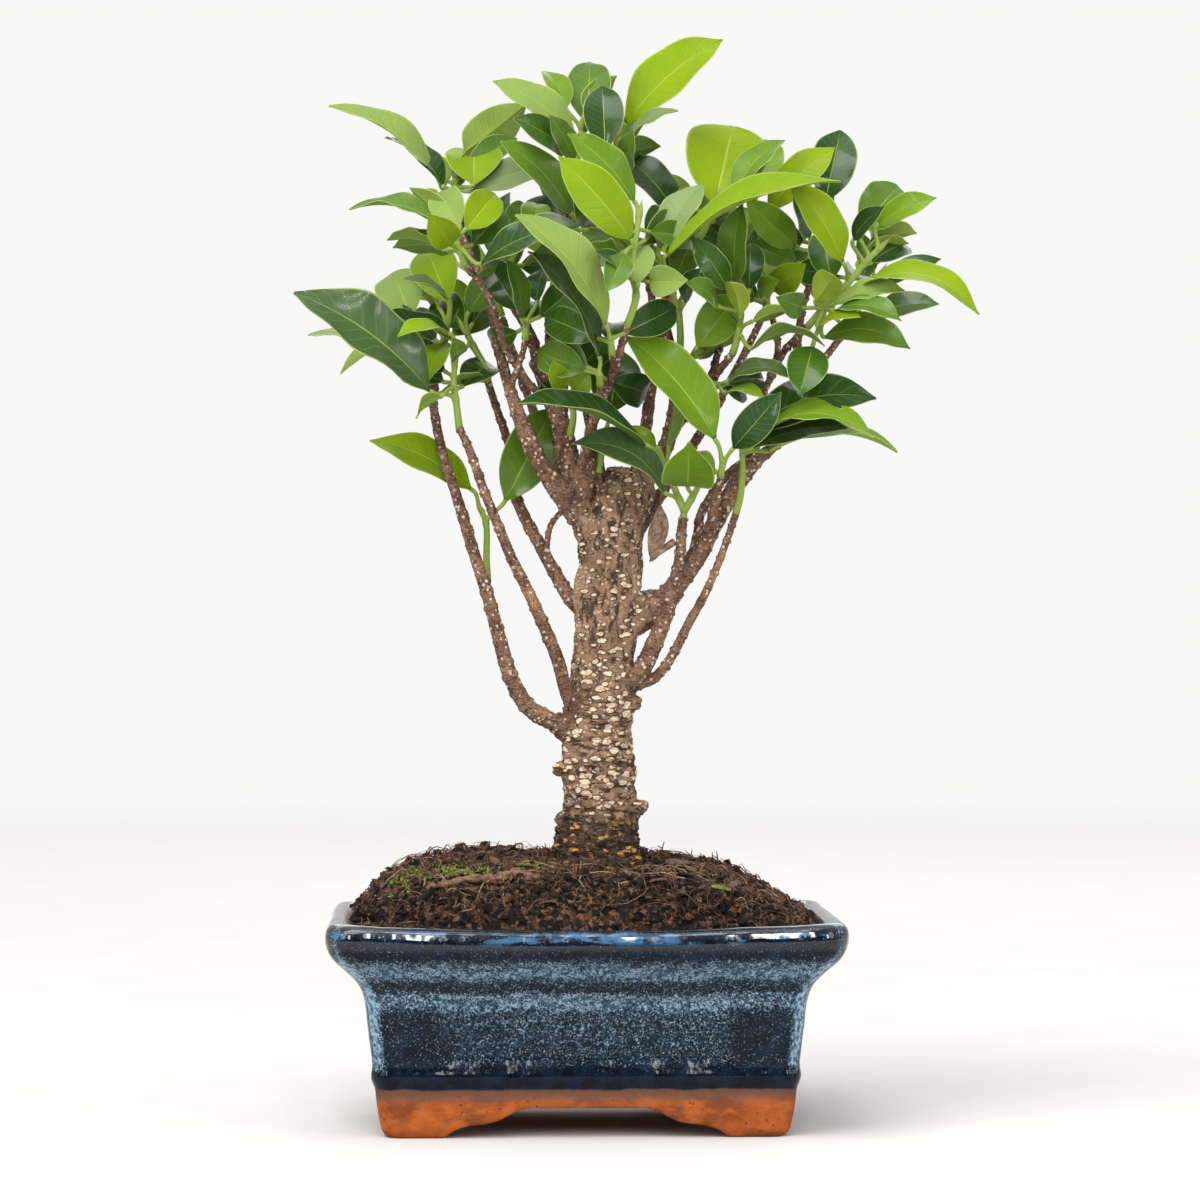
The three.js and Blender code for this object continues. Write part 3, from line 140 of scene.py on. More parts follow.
SPRAYS: dict[str, Spray] = {
    "far_left": Spray((((-48.2, 233.4, -10), (-47.5, 239, -9), (-46, 245, -7), (-44.5, 251, -5)),), (
        Leaf((-54, 239, -8), (-88, 249.5, -18), 6, P),
        Leaf((-53, 240.5, 2), (-78, 237, 12), 3, LP, 0.22),
        Leaf((-45, 246, 3), (-50, 235, 18), 7, L),
        Leaf((-51, 244, -4), (-58, 247.5, -1), 2, L),
        Leaf((-44, 259, -8), (-51, 276, -32), 14, L),
        Leaf((-47, 257, -12), (-54, 263, -30), -5, P),
        Leaf((-55.5, 254.5, -14), (-62, 268.5, -30), 14, LP),
        Leaf((-44.2, 260, -2), (-58, 266.5, 8), 2.4, P),
    )),
    "left": Spray((((-40.6, 219.4, 14), (-41.4, 226, 15), (-42.3, 233, 15), (-42, 239, 14)),), (
        Leaf((-50, 231, 20), (-92, 262.5, 26), 15, B),
        Leaf((-41.6, 241, 18), (-42.5, 247.5, 32), 5, M),
        Leaf((-44, 249, 18), (-60, 248.5, 30), 3, L, 0.16),
        Leaf((-46.5, 229, 24), (-54.5, 222.5, 36), -3, P),
    )),
    "left_twig": Spray((((-31.7, 171.5, 1.8), (-32, 178, 0), (-32, 188, -2), (-33.5, 193, -4)),), (
        Leaf((-37, 200, -8), (-68.5, 216, -14), 10, L),
        Leaf((-26, 196.5, -3), (-11, 226, -12), 15, M),
    )),
    "left_mid": Spray((((-33.6, 240.4, -7), (-35.5, 244, -6), (-38, 248.5, -5)),), (
        Leaf((-40, 245, 4), (-67, 254.5, 10), 4, D),
        Leaf((-32, 234, 2), (-47.5, 230, 14), -3, G),
        Leaf((-37.5, 256, 0), (-28, 270.5, 5), 9, M),
        Leaf((-36.5, 252, -12), (-29, 265, -28), 5, D),
    )),
    "left_high": Spray((((-40.6, 285.4, -20), (-41.5, 291, -19), (-41.5, 298, -18)),), (
        Leaf((-48, 299, -18), (-81, 321.5, -12), 6, LP),
        Leaf((-46, 295.5, -13), (-63.5, 311.5, -30), 5, D),
        Leaf((-39, 306, -22), (-19.5, 321.5, -36), -13, P),
        Leaf((-36, 296, -10), (-36, 307, -34), 17, L),
        Leaf((-45, 295, -25), (-50, 305, -40), -6, P),
        Leaf((-36, 294, -12), (-11, 301.5, -24), 9, G),
    )),
    "left_lean": Spray((((-38.7, 270.9, 20), (-40, 274, 21), (-41.3, 278, 21.5)),), (
        Leaf((-40.5, 283, 22), (-47, 294, 8), 10.5, LP),
        Leaf((-38.5, 282, 23), (-29, 293.5, 9), 10.5, L),
        Leaf((-43, 277, 25), (-50, 286.5, 42), 9, L),
        Leaf((-45, 281.5, 20), (-75, 289, 12), 3.5, M, 0.14),
        Leaf((-45.5, 284, 16), (-53, 294, 2), -4, LP),
        Leaf((-46, 275.5, 18), (-63, 279, 6), -2.5, G),
        Leaf((-33.5, 271, 25), (-2, 284, 34), 8, D),
        Leaf((-36.5, 277, 17), (-26.5, 288.5, 2), 10, E),
    )),
    "left_inner": Spray((((-19.8, 247.9, 14), (-19.4, 252, 15)),), (
        Leaf((-21, 254, 18), (-25.5, 272.5, 26), 5.5, M),
        Leaf((-15, 254.5, 16), (-5, 263, -2), 10, E),
        Leaf((-16, 259, 12), (-13, 270.5, -2), 6, D),
    )),
    "main_left": Spray((((-26.6, 262.9, -4), (-25, 269, -3), (-23, 275, -2)),), (
        Leaf((-26, 280, -2), (-19, 290, -16), 8.5, M),
        Leaf((-17.5, 281, 2), (-16, 290.5, -14), 9, F),
    )),
    "top_left": Spray((((-5.9, 296.4, -2), (-4, 302, -2), (-2.6, 308, -2.5), (-2, 313, -3)),), (
        Leaf((-4, 311, 2), (-29.5, 329, 8), 9, LP),
        Leaf((0, 315, -7), (0.5, 335.5, -28), 13, M),
        Leaf((-7, 320, -5), (-14, 332.5, -19), 6.5, F),
        Leaf((-7, 306, 3), (-23, 317, 20), 8, E),
        Leaf((-4.5, 304, 6), (-12, 318, 16), 6.5, M),
    )),
    "top_mid": Spray((((-3, 274.4, -10), (-3.2, 279, -6), (-4, 284, -2)),), (
        Leaf((-5.5, 287, 4), (-27, 310, 16), 9, M),
        Leaf((0.5, 283, 4), (-3, 297, 20), 8, E),
    )),
    "front": Spray((((12.4, 251.9, 30), (14, 256, 31), (15.2, 261, 32), (14.6, 266, 32), (14.2, 272, 31),
        (15, 279, 28), (16, 285, 25)),), (
        Leaf((15.8, 265, 38), (15.5, 277, 22), 10, LP),
        Leaf((19.5, 265.5, 36), (31, 266, 52), 9, LP),
        Leaf((11.5, 274, 36), (6, 262.5, 48), 8, M),
        Leaf((11, 268, 35), (3, 275, 46), 3, D),
        Leaf((9.5, 280, 31), (-6, 276, 35), 4, M),
        Leaf((13.5, 279, 32), (-9, 305, 38), 13, L),
        Leaf((14.5, 291, 22), (-6, 312.5, 26), 9, F),
    )),
    "front_low": Spray((((3.8, 233, 24), (3.6, 237, 26.5)),), (
        Leaf((3.5, 242, 27), (-18, 275.5, 33), 6.5, B),
    )),
    "front_high": Spray((((7.6, 243, 30.4), (7.2, 247, 33)),), (
        Leaf((5.5, 252, 37), (-22, 287, 50), 9.5, LP),
    )),
    "head": Spray((((3.4, 205.9, 7), (4.4, 212, 6), (5.8, 219, 4)),), (
        Leaf((7, 224, 3), (10, 244.5, -7), 15, E),
    )),
    "fork": Spray((((-5.5, 217.4, 6), (-4.6, 223, 7.5), (-5, 228, 8.5)),), (
        Leaf((-7.5, 232, 10), (-11, 240.5, 23), 6.5, L),
        Leaf((-4, 231, 12), (0.5, 236.5, 22), 7, F),
        Leaf((-3.5, 237, 6), (6.5, 248, -4), 9, E),
    )),
    "top": Spray((((9, 296.4, -12), (8.5, 301, -11), (8.2, 305, -10), (9.4, 311, -9)),), (
        Leaf((5.5, 308, 2), (4.5, 327.5, -6), 12, D),
        Leaf((12, 315.5, -8), (42, 342.5, -2), 13, L),
        Leaf((12, 310, -2), (28, 320, 10), 3, G),
        Leaf((13, 301, 2), (14, 313, 16), 5.5, M),
    )),
    "main_right": Spray((((35.2, 279.4, -4), (37.4, 283, -3), (39, 289, -1)),), (
        Leaf((40, 290, 2), (46, 315.5, -24), 24.5, L),
        Leaf((30.5, 290, -8), (22.5, 299.5, -24), -8, P),
        Leaf((46, 293, 4), (62, 311, -6), 7, F),
        Leaf((28.5, 285.5, -13), (10, 306, -28), 10, D),
    )),
    "centre": Spray((((28.9, 240.9, 6), (29.2, 249, 8), (28.5, 256, 11), (26.6, 262, 14),
        (24.6, 268, 17)),), (
        Leaf((25, 274, 22), (79.5, 299, 34), 5.5, L),
        Leaf((22.5, 276, 16), (36.5, 296.5, 6), 9, P),
        Leaf((19.5, 277, 12), (25, 290, -2), 9, D),
        Leaf((27.5, 266, 12), (33, 279.5, -2), 9.5, M),
        Leaf((30.5, 259, 16), (35.4, 269.8, 28.2), 4.6, D),
        Leaf((32.2, 263.2, 7), (44, 267.6, 18), -4, G),
    )),
    "mid": Spray((((32.8, 238.9, 8), (32.5, 241, 9)),), (
        Leaf((34.5, 245, 13), (47, 261, 5), 12, F),
    )),
    "right_mid": Spray((((45.9, 243.4, 14), (47, 247, 15), (48, 252, 15.5), (48.6, 258, 15)),), (
        Leaf((47, 265, 17), (48.5, 290.5, 25), 8.5, M),
        Leaf((44.5, 263, 20), (33, 279.5, 26), 8, E),
        Leaf((51, 263, 12), (51.5, 278, 0), 8.5, D),
        Leaf((48, 255, 21), (45, 266, 35), -6, LP),
        Leaf((52, 253, 19), (64, 257, 21), -4, P),
        Leaf((52, 244.5, 19), (75, 246, 26), -3, G, 0.22),
        Leaf((41, 258, 22), (31.5, 265.5, 37), 5, M),
    )),
    "right_mid_low": Spray((((40.3, 232.7, 14), (41.5, 233, 16)),), (
        Leaf((44.5, 234, 19), (65, 235.5, 26), 4.5, B, 0.22),
        Leaf((43.5, 230.5, 20), (56, 229, 28), 2.5, F, 0.15),
    )),
    "right_inner": Spray((((43, 260.4, -20), (45, 268, -21), (48, 276, -22), (52, 283, -22)),), (
        Leaf((57, 288, -13), (78, 308.5, -13), 10.5, L),
        Leaf((53, 292, -24), (57, 311, -42), 12, F),
        Leaf((41, 272, -24), (31, 286, -40), 12, E),
    )),
    "right": Spray((((71.1, 267.4, -16), (71.5, 272, -16), (72.5, 278, -17), (73.5, 284, -18)),), (
        Leaf((75, 291, -22), (80, 314, -34), 13.5, D),
        Leaf((70, 280, -10), (65, 296, 6), 7.5, D),
        Leaf((65.5, 277, -10), (50, 291.5, 0), 10, F),
        Leaf((66, 271.5, -11), (50.5, 278, -9), 7.5, M),
    )),
    "right_stem": Spray((((57.4, 256.4, -5), (56.6, 259, -4)),), (
        Leaf((58.5, 263, 1), (68.5, 271, 16), 9, L),
        Leaf((54, 262, 4), (60, 266, 18), 5.5, F),
    )),
    "right_out": Spray((((69.9, 251.8, 15), (73, 255.5, 16), (76, 259, 16), (80, 263, 15), (84, 267, 13),
        (87, 271, 11), (91, 275, 9)),), (
        Leaf((80.5, 272, 20), (64, 297.5, 26), 10, L),
        Leaf((86, 282, 6), (98.5, 296.5, -10), 13.5, M),
        Leaf((84, 279, 14), (93.5, 289.5, 26), 5.5, D),
        Leaf((92, 284, 10), (110, 292.5, 20), 7, F),
        Leaf((88, 276.5, 3), (103.5, 281.5, -14), -5, P),
        Leaf((86, 272, 6), (101, 278.3, -6), -3.5, P),
        Leaf((72, 259.5, 20), (78, 268, 32), -9, LP),
        Leaf((78, 258.5, 20), (100, 263.5, 28), 5, LP),
        Leaf((85, 263.5, 19), (124, 256.5, 30), 5.5, L, 0.22),
        Leaf((78, 256.5, 23), (99, 254, 38), 5, M, 0.14),
        Leaf((73, 251.5, 22), (86, 255, 36), 3, L),
        Leaf((75, 248, 17), (102, 245, 22), 8.5, M, 0.25),
        Leaf((71, 245, 19), (67, 230, 30), 12, E),
        Leaf((67.5, 257.5, 22), (60, 260.5, 38), 8, M),
        Leaf((77, 266, 12), (74, 282, 0), 10.5, E),
    )),
    "right_front": Spray((((30.2, 191.4, 12), (30.4, 194, 13)), ((30.4, 193, 12.7), (27.5, 200, 14),
        (24.8, 207, 15)), ((30.4, 193, 12.7), (33, 197.5, 14), (36, 203, 15)),), (
        Leaf((24, 199, 20), (-5, 215, 26), 8.5, B, 0.23),
        Leaf((18, 214, 24), (-22, 228, 38), 4.5, D),
        Leaf((31.5, 201, 21), (32, 214, 44), 15, F),
        Leaf((40, 206, 24), (30, 211, 36), -5, P),
        Leaf((25.5, 214, 12), (25, 246, 14), -5, G),
        Leaf((21.5, 213.5, 17), (13, 220, 20), 4, F),
    )),
    "right_front_out": Spray((((41.9, 204.4, 22), (42.6, 208, 23)),), (
        Leaf((40, 216, 25), (12, 249, 20), 13.5, F),
        Leaf((46, 213, 26), (61, 230.5, 34), 10, D),
    )),
    "low_right": Spray((((46.9, 192.9, 11), (48.2, 198, 12), (48.9, 205, 13), (48.8, 211, 14)),), (
        Leaf((52, 218.5, 12), (91, 229.5, 18), 12.5, D, 0.2),
        Leaf((54, 217.5, 21), (91, 217, 32), 5.5, F, 0.2),
        Leaf((52.5, 213, 18), (82, 220, 22), 6.5, D),
        Leaf((57, 212, 9), (98, 213, 6), 4.5, LP, 0.15),
    )),
}
DEAD_LEAF = Spray((((26.6, 183, 9.5), (23, 180.5, 10.5), (20.5, 178.5, 10.5)),), (
    Leaf((20, 177.5, 10.5), (22.5, 195.5, 9), 5.5, M, -0.12),
))
REAR_SPRAYS: dict[str, RearSpray] = {
    "back_left": RearSpray((-27.1, 254.5, -48.3), (-0.32, 1, -0.12), 18, 6, 27),
    "back_mid_left": RearSpray((-5, 268.5, -54.4), (-0.06, 1, -0.22), 22, 6, 27),
    "back_mid_right": RearSpray((27.1, 262.8, -60.5), (0.04, 1, -0.22), 22, 6, 27),
    "back_right": RearSpray((56.2, 256.6, -51.4), (0.1, 1, -0.22), 17, 6, 20),
    "back_far_right": RearSpray((80.3, 248.4, -45.1), (0.62, 1, -0.05), 21, 6, 23),
}
BOUGHS: dict[str, Bough] = {
    "far_left": Bough((
        (-4, 124, 1), (-13, 127.5, 4), (-19.5, 132, 6), (-24.5, 141, 8), (-28, 153, 9), (-31.5, 166, 9),
        (-36, 180, 6), (-41.5, 198, 0), (-46, 212, -5), (-48.8, 227, -9), (-48.2, 233, -10),
    ), 3, 1.3),
    "far_left_spur": Bough(((-30.6, 161, 9), (-31.4, 166.5, 6), (-31.7, 171, 2)), 1.4, 1),
    "left": Bough((
        (-1, 128, 3), (-6, 134, 5), (-9.5, 146, 7), (-14, 157, 9), (-19, 168, 10), (-24, 178, 11),
        (-28.5, 189, 12), (-33, 200, 13), (-36.5, 210, 13.5), (-38.5, 215, 14), (-40.5, 219, 14),
    ), 2.3, 1.2),
    "left_mid": Bough((
        (0, 160, 0), (-5.5, 165.5, 0), (-9, 171, -1), (-14, 180, -5), (-21.8, 195, -13), (-23, 203, -16),
        (-25, 214, -16), (-28, 223, -14), (-31, 232, -10), (-33.5, 240, -7),
    ), 2.5, 1.1),
    "bridge": Bough(((-13.2, 178.5, -4.5), (-12, 188, -2), (-7.5, 194, 1)), 0.9, 0.9),
    "fork": Bough(((4, 184, 1), (-1, 194, 2), (-5, 203, 2), (-7, 212, 2), (-8.5, 221, 1)), 6.8, 3),
    "fork_spur": Bough(((-6.5, 212, 3), (-5.6, 217, 6)), 1, 0.9),
    "left_high": Bough((
        (-3, 190, 3), (-9, 198, 6), (-14, 205.5, 7), (-19, 215, 7), (-22, 223, 6), (-24.5, 231, 5),
        (-26.5, 238, 3), (-28.7, 246, -2), (-30, 254, -6), (-34, 266, -13), (-38.5, 277, -18),
        (-40.5, 285, -20),
    ), 2.7, 1.1),
    "left_high_twin": Bough((
        (-5, 198, 7), (-10.5, 204, 9), (-14, 209, 9.5), (-18, 217, 9), (-21.5, 225, 7.5), (-24, 231.5, 5.5),
    ), 1.6, 1.2),
    "left_lean": Bough((
        (-12.5, 228.5, 2), (-17, 231.5, 5), (-22, 238, 8), (-26.5, 245.5, 11), (-28.5, 252, 13),
        (-32, 262, 17), (-38.5, 270.5, 20),
    ), 1.2, 1),
    "left_inner": Bough((
        (-24.6, 231, 4.6), (-22.6, 237, 10.5), (-20.3, 244, 13), (-19.8, 247.5, 14),
    ), 1, 0.9),
    "main_left": Bough((
        (-7, 214, 1), (-9, 222, 0.5), (-12.5, 230, 0), (-15, 238, 0), (-17, 245, 0), (-18.5, 249.5, -1),
        (-22.5, 256, -3), (-26.5, 262.5, -4),
    ), 3.2, 1.2),
    "top_left": Bough((
        (-8, 219, 0), (-9.5, 230, -2), (-10.8, 238, -2), (-11.8, 246, -2), (-12, 256, -2), (-10, 268, -3),
        (-8, 282, -3), (-6, 296, -2),
    ), 2.3, 1.1),
    "top_mid": Bough((
        (-9.3, 230, -2), (-8.4, 240, -3), (-8.6, 251, -5), (-6, 263, -8), (-3, 273.6, -10),
    ), 1.8, 1.1),
    "top_stub": Bough(((-7.6, 238, -2), (-5.6, 247.5, -2)), 0.9, 0.9),
    "front": Bough((
        (-1, 197, 4), (-1.5, 206, 7), (-0.5, 212, 9), (1, 219, 12), (3.5, 226, 16), (6, 232, 20),
        (8.5, 238, 24), (10.5, 245, 27), (12.3, 251.5, 30),
    ), 2.1, 1.1),
    "front_low_spur": Bough(((3.4, 225.5, 16), (3.8, 232.5, 23.5)), 1, 0.9),
    "front_high_spur": Bough(((8.2, 237, 23), (7.6, 242.5, 30)), 1, 0.9),
    "head_spur": Bough(((4, 198, 4), (3.4, 205.5, 7)), 1.3, 1),
    "top": Bough((
        (12, 199, -4), (16.5, 209, -6), (18.5, 220, -6), (19.7, 230, -6), (20.7, 238, -6), (21.5, 246, -6),
        (20.8, 256, -8), (18.5, 268, -10), (14, 282, -12), (9, 296, -12),
    ), 2, 1),
    "main_right": Bough((
        (14, 199, -3), (21.5, 208, -4), (25.5, 216, -4), (27.5, 226, -4), (28, 234, -4), (26.5, 243, -4.5),
        (24.5, 252, -5), (25, 262, -5), (29.5, 271, -5), (35, 279, -4),
    ), 2.9, 1.1),
    "centre_spur": Bough(((27.8, 233, -4), (28.8, 240.5, 6)), 1.1, 1),
    "mid_spur": Bough(((27.5, 226, -4), (31, 230, 0), (32.6, 235, 5), (32.8, 238.5, 8)), 1.1, 0.9),
    "right_mid": Bough((
        (26.3, 218, -4), (31, 223.5, 0), (35, 228, 4), (38.5, 232.5, 8), (41, 237, 10), (43.5, 240, 12),
        (45.8, 243, 14),
    ), 1.7, 1.1),
    "right_mid_spur": Bough(((37.5, 231, 7), (40, 232.4, 14)), 1, 0.9),
    "right_inner": Bough((
        (34, 227, 2), (39, 236, -5), (41, 243, -10), (43.3, 252, -16), (43, 260, -20),
    ), 1.3, 1),
    "right_neck": Bough(((10, 157, 1), (18, 161, 2), (24, 165, 2.5), (28, 169, 3)), 6, 3.4),
    "right": Bough((
        (26, 167, 3), (31, 173.5, 4), (35.5, 180, 5), (39, 187, 5), (42.5, 193, 4.5), (46, 199, 3.5),
        (50, 204.5, 2.5), (54, 209.5, 0), (58, 213, -3), (62, 217, -6), (64.5, 225, -9), (65.5, 236, -12),
        (66.5, 248, -14), (68, 258, -15), (71, 267, -16),
    ), 3.1, 1.1),
    "right_back_stem": Bough((
        (28, 167.5, 1), (32, 176, -1), (34.5, 185, -2), (35.5, 191.5, -2), (39, 198, -2), (44, 204.5, -3),
        (50, 210, -5), (54, 220, -7), (55.5, 230, -7), (58, 236, -6), (60, 243, -6), (59.5, 250, -6),
        (57.5, 256, -5),
    ), 1.6, 1),
    "right_out": Bough((
        (57.8, 235.5, -6), (59.5, 239, 0), (62, 243.5, 7), (66, 248, 12), (69.5, 251.5, 15),
    ), 1.3, 1),
    "right_front": Bough((
        (25, 164, 4), (28, 173, 7), (29.2, 180, 9.5), (29.6, 187, 11), (30.2, 191, 12),
    ), 2.1, 1.4),
    "right_front_out": Bough((
        (37, 182, 5), (38.8, 189, 11), (40, 195, 16), (41.2, 200, 20), (41.9, 204, 22),
    ), 1.8, 1.1),
    "low_right": Bough((
        (10, 135, 2), (16, 138.3, 3), (20, 139.8, 3.5), (24, 143.5, 4.5), (28, 150, 5.5), (32, 158, 6.5),
        (36, 165, 7.5), (39.5, 172.5, 8.5), (42.5, 180, 9.5), (45, 187, 10.5), (46.8, 192.5, 11),
    ), 1.8, 1.1),
    "low_right_strut": Bough((
        (10, 138, 3), (16, 142, 5), (19.5, 148, 6), (22.5, 155, 5.5), (25, 162, 4), (26, 166, 3.5),
    ), 3.1, 2.3),
    "back_left": Bough((
        (2, 176, -4), (-6, 196, -16), (-14, 216, -29), (-22, 238, -41), (-27, 254, -48),
    ), 2.2, 1.1),
    "back_mid_left": Bough((
        (6, 194, -5), (2, 214, -16), (-2, 236, -31), (-4, 254, -44), (-5, 268, -54),
    ), 2.1, 1.1),
    "back_mid_right": Bough((
        (12, 194, -5), (17, 214, -18), (21, 236, -35), (25, 252, -50), (27, 262, -60),
    ), 2.1, 1.1),
    "back_right": Bough((
        (12, 180, -4), (24, 200, -16), (37, 220, -30), (48, 240, -42), (56, 256, -51),
    ), 2.1, 1.1),
    "back_far_right": Bough((
        (12, 156, -4), (25, 168, -14), (36, 184, -24), (47, 204, -32), (60, 224, -38), (72, 238, -42),
        (80, 248, -45),
    ), 2.4, 1.1),
}
# (x, z, radius) of the trunk, from its buried root stock to the sawn head.
TRUNK: tuple[Point, ...] = (
    (3.5, 50, 8.5), (3.4, 64, 12), (3.2, 76, 13.4), (3.3, 88, 12.6), (4.2, 98, 11.3), (3.2, 107, 11.2),
    (2.6, 116, 11.2), (3.2, 126, 11), (4.8, 136, 10.4), (5, 146, 9.8), (5.3, 156, 9.4), (7, 166, 9.4),
    (7.6, 176, 9.4), (7.8, 186, 9.9), (9, 195, 10.6), (11.6, 202, 9), (12.3, 206.5, 6),
)
# (x, z, t, radius) of the burls and the stubs of old cuts.
BURLS: tuple[tuple[float, float, float, float], ...] = (
    (-6, 125, 1, 5.5), (-8.6, 111.5, 2, 2.8), (16, 100, 3, 3.2), (14.4, 132.5, 4, 2.8), (13.2, 110, 3, 2.6),
    (0.5, 115.5, 7.6, 5.2), (7.5, 143, 6, 4.6), (4, 137, -6, 5.2), (10, 120, -7, 4.6), (-1, 104, -7.5, 4.4),
    (20, 163, 2, 6), (-1, 194, 2, 6), (15, 198, -4, 6.5), (6, 178, -6.5, 4.4),
)
# (course, radius) of the strands of old root and branch that have grown into the trunk.
SINEWS: tuple[tuple[tuple[Point, ...], float], ...] = (
    (((0.5, 210, 7), (-0.8, 190, 6), (-1.9, 171, 5.5), (-2.2, 152, 6), (0, 137, 8)), 2.4),
    (((14.6, 186, 4.5), (14.4, 172, 5), (13.6, 158, 5.5), (11.5, 146, 7)), 2.4),
    (((9, 190, 9), (6, 177, 9), (7, 163, 9), (4, 150, 9)), 1.6),
    (((-9.5, 84, 2), (-8.4, 94, 3), (-6.5, 101, 4)), 2.2), (((4, 78, 13.5), (2.5, 88, 12), (5, 97, 10)), 2.2),
    (((15.5, 79, 4), (14.2, 90, 4), (12.5, 98, 4)), 2.2),
)


# ------------------------------------------------------------------ geometry helpers
def seen(point: Point) -> Vector:
    """Returns the place of a table point (x, z, t), in mm in the pot's frame."""
    x, z, t = point
    return Vector((x + TREE_X, 0.0, z)).lerp(EYE, t / EYE_DISTANCE)


def spline(points: Sequence[Vector], steps: int) -> list[Vector]:
    """Runs a smooth curve through points.

    Args:
        points: The places that the curve passes.
        steps: How many stretches stand between two of them.
    Returns:
        The places along the curve.
    """
    ends = [points[0] * 2 - points[1], *points, points[-1] * 2 - points[-2]]
    out: list[Vector] = []
    for i in range(1, len(ends) - 2):
        p0, p1, p2, p3 = ends[i - 1 : i + 3]
        for j in range(steps):
            t = j / steps
            bend = 2 * p0 - 5 * p1 + 4 * p2 - p3
            sweep = 3 * p1 - p0 - 3 * p2 + p3
            out.append(0.5 * (2 * p1 + (p2 - p0) * t + bend * t * t + sweep * t**3))
    return out + [points[-1].copy()]


def bezier(a: Vector, b: Vector, c: Vector, d: Vector, steps: int) -> list[Vector]:
    """Returns steps + 1 places along the cubic curve from a to d with handles b and c."""
    out = []
    for i in range(steps + 1):
        t = i / steps
        out.append(a * (1 - t) ** 3 + b * 3 * t * (1 - t) ** 2 + c * 3 * t * t * (1 - t) + d * t**3)
    return out


@dataclass
class Skin:
    """Points, faces and marks being gathered for one mesh, in mm in the pot's frame."""

    marks: tuple[str, ...] = ()
    points: list[np.ndarray] = field(default_factory=list)
    faces: list[Face] = field(default_factory=list)
    slots: list[int] = field(default_factory=list)
    values: dict[str, list[np.ndarray]] = field(default_factory=dict)
    count: int = 0

    def add(self, points: np.ndarray, faces: Sequence[Face], slot: int = 0, **marks: Marks) -> None:
        """Adds one closed skin.

        Args:
            points: Its points, one a row.
            faces: Its faces, as indices into points.
            slot: Which material it takes.
            marks: For each of the mesh's marks, three numbers a point, or three for all of it.
        """
        for name in self.marks:
            value = np.asarray(marks.get(name, (0.0, 0.0, 0.0)), dtype=float)
            self.values.setdefault(name, []).append(np.broadcast_to(value, (len(points), 3)))
        self.points.append(np.asarray(points, dtype=float))
        self.faces.extend(tuple(i + self.count for i in face) for face in faces)
        self.slots.extend([slot] * len(faces))
        self.count += len(points)

    def loft(self, rings: Sequence[Sequence[Vector | Point]], slot: int = 0, **marks: Marks) -> "Skin":
        """Adds the closed skin that runs through rings of equally many points.

        Args:
            rings: The rings, from one end to the other.
            slot: Which material it takes.
            marks: As for add().
        Returns:
            The skin itself.
        """
        last, sides = len(rings) - 1, len(rings[0])
        corners = [(i * sides, j, (j + 1) % sides) for i in range(last) for j in range(sides)]
        faces: list[Face] = [(a + j, a + k, a + sides + k, a + sides + j) for a, j, k in corners]
        faces.append(tuple(range(sides - 1, -1, -1)))
        faces.append(tuple(last * sides + j for j in range(sides)))
        self.add(np.array([tuple(p) for ring in rings for p in ring]), faces, slot, **marks)
        return self

    def tube(
        self,
        path: Sequence[Vector],
        radii: Sequence[float],
        sides: int,
        slot: int = 0,
        mark: str = "",
        tag: float = 0.0,
    ) -> None:
        """Adds a round tube with closed ends.

        Args:
            path: The places along its middle.
            radii: Its radius at each place.
            sides: How many corners a ring has.
            slot: Which material it takes.
            mark: The mark that gets (share of the length, share of the turn, tag).
            tag: The last number of that mark.
        """
        rings, marks = [], []
        across = Vector((0.0, 1.0, 0.0))
        last = len(path) - 1
        for i, place in enumerate(path):
            ahead = (path[min(i + 1, last)] - path[max(i - 1, 0)]).normalized()
            if i == 0:
                across = Vector((0, 1, 0)).cross(ahead)
                across = Vector((1, 0, 0)) if across.length < 0.1 else across
            across = (across - ahead * across.dot(ahead)).normalized()
            over = ahead.cross(across)
            turns = [2 * math.pi * j / sides for j in range(sides)]
            radius = float(radii[i])
            rings.append([place + radius * (math.cos(a) * across + math.sin(a) * over) for a in turns])
            marks += [(i / last, j / sides, tag) for j in range(sides)]
        self.loft(rings, slot, **({mark: np.array(marks)} if mark else {}))

    def mesh(self, name: str) -> bpy.types.Mesh:
        """Returns the gathered mesh, in metres in the row frame, smooth shaded."""
        places = (np.concatenate(self.points) + np.array(ORIGIN)) * MM
        made = bpy.data.meshes.new(name)
        made.from_pydata(places.tolist(), [], self.faces)
        made.polygons.foreach_set("material_index", self.slots)
        made.polygons.foreach_set("use_smooth", [True] * len(self.faces))
        for mark, blocks in self.values.items():
            write_mark(made, mark, np.concatenate(blocks))
        made.update()
        return made


def put(name: str, data: bpy.types.ID) -> bpy.types.Object:
    """Adds an object with that name and data to the scene and returns it."""
    made = bpy.data.objects.new(name, data)
    bpy.context.scene.collection.objects.link(made)
    return made


def place(
    name: str, mesh: bpy.types.Mesh, materials: Sequence[bpy.types.Material], slot: str, *nodes: str
) -> bpy.types.Object:
    """Puts a piece in the scene, riding on the body.

    Args:
        name: The piece's name.
        mesh: Its mesh, in the row frame.
        materials: Its materials, in the order of the mesh's slots.
        slot: Not used.
        nodes: The solids that it stands for.
    Returns:
        The new object.
    """
    mesh.materials.clear()
    for material in materials:
        mesh.materials.append(material)
    piece = put(name, mesh)
    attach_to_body(piece, "root")
    if nodes:
        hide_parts(*nodes)
    log.info("%s: %d points, %d faces", name, len(mesh.vertices), len(mesh.polygons))
    return piece


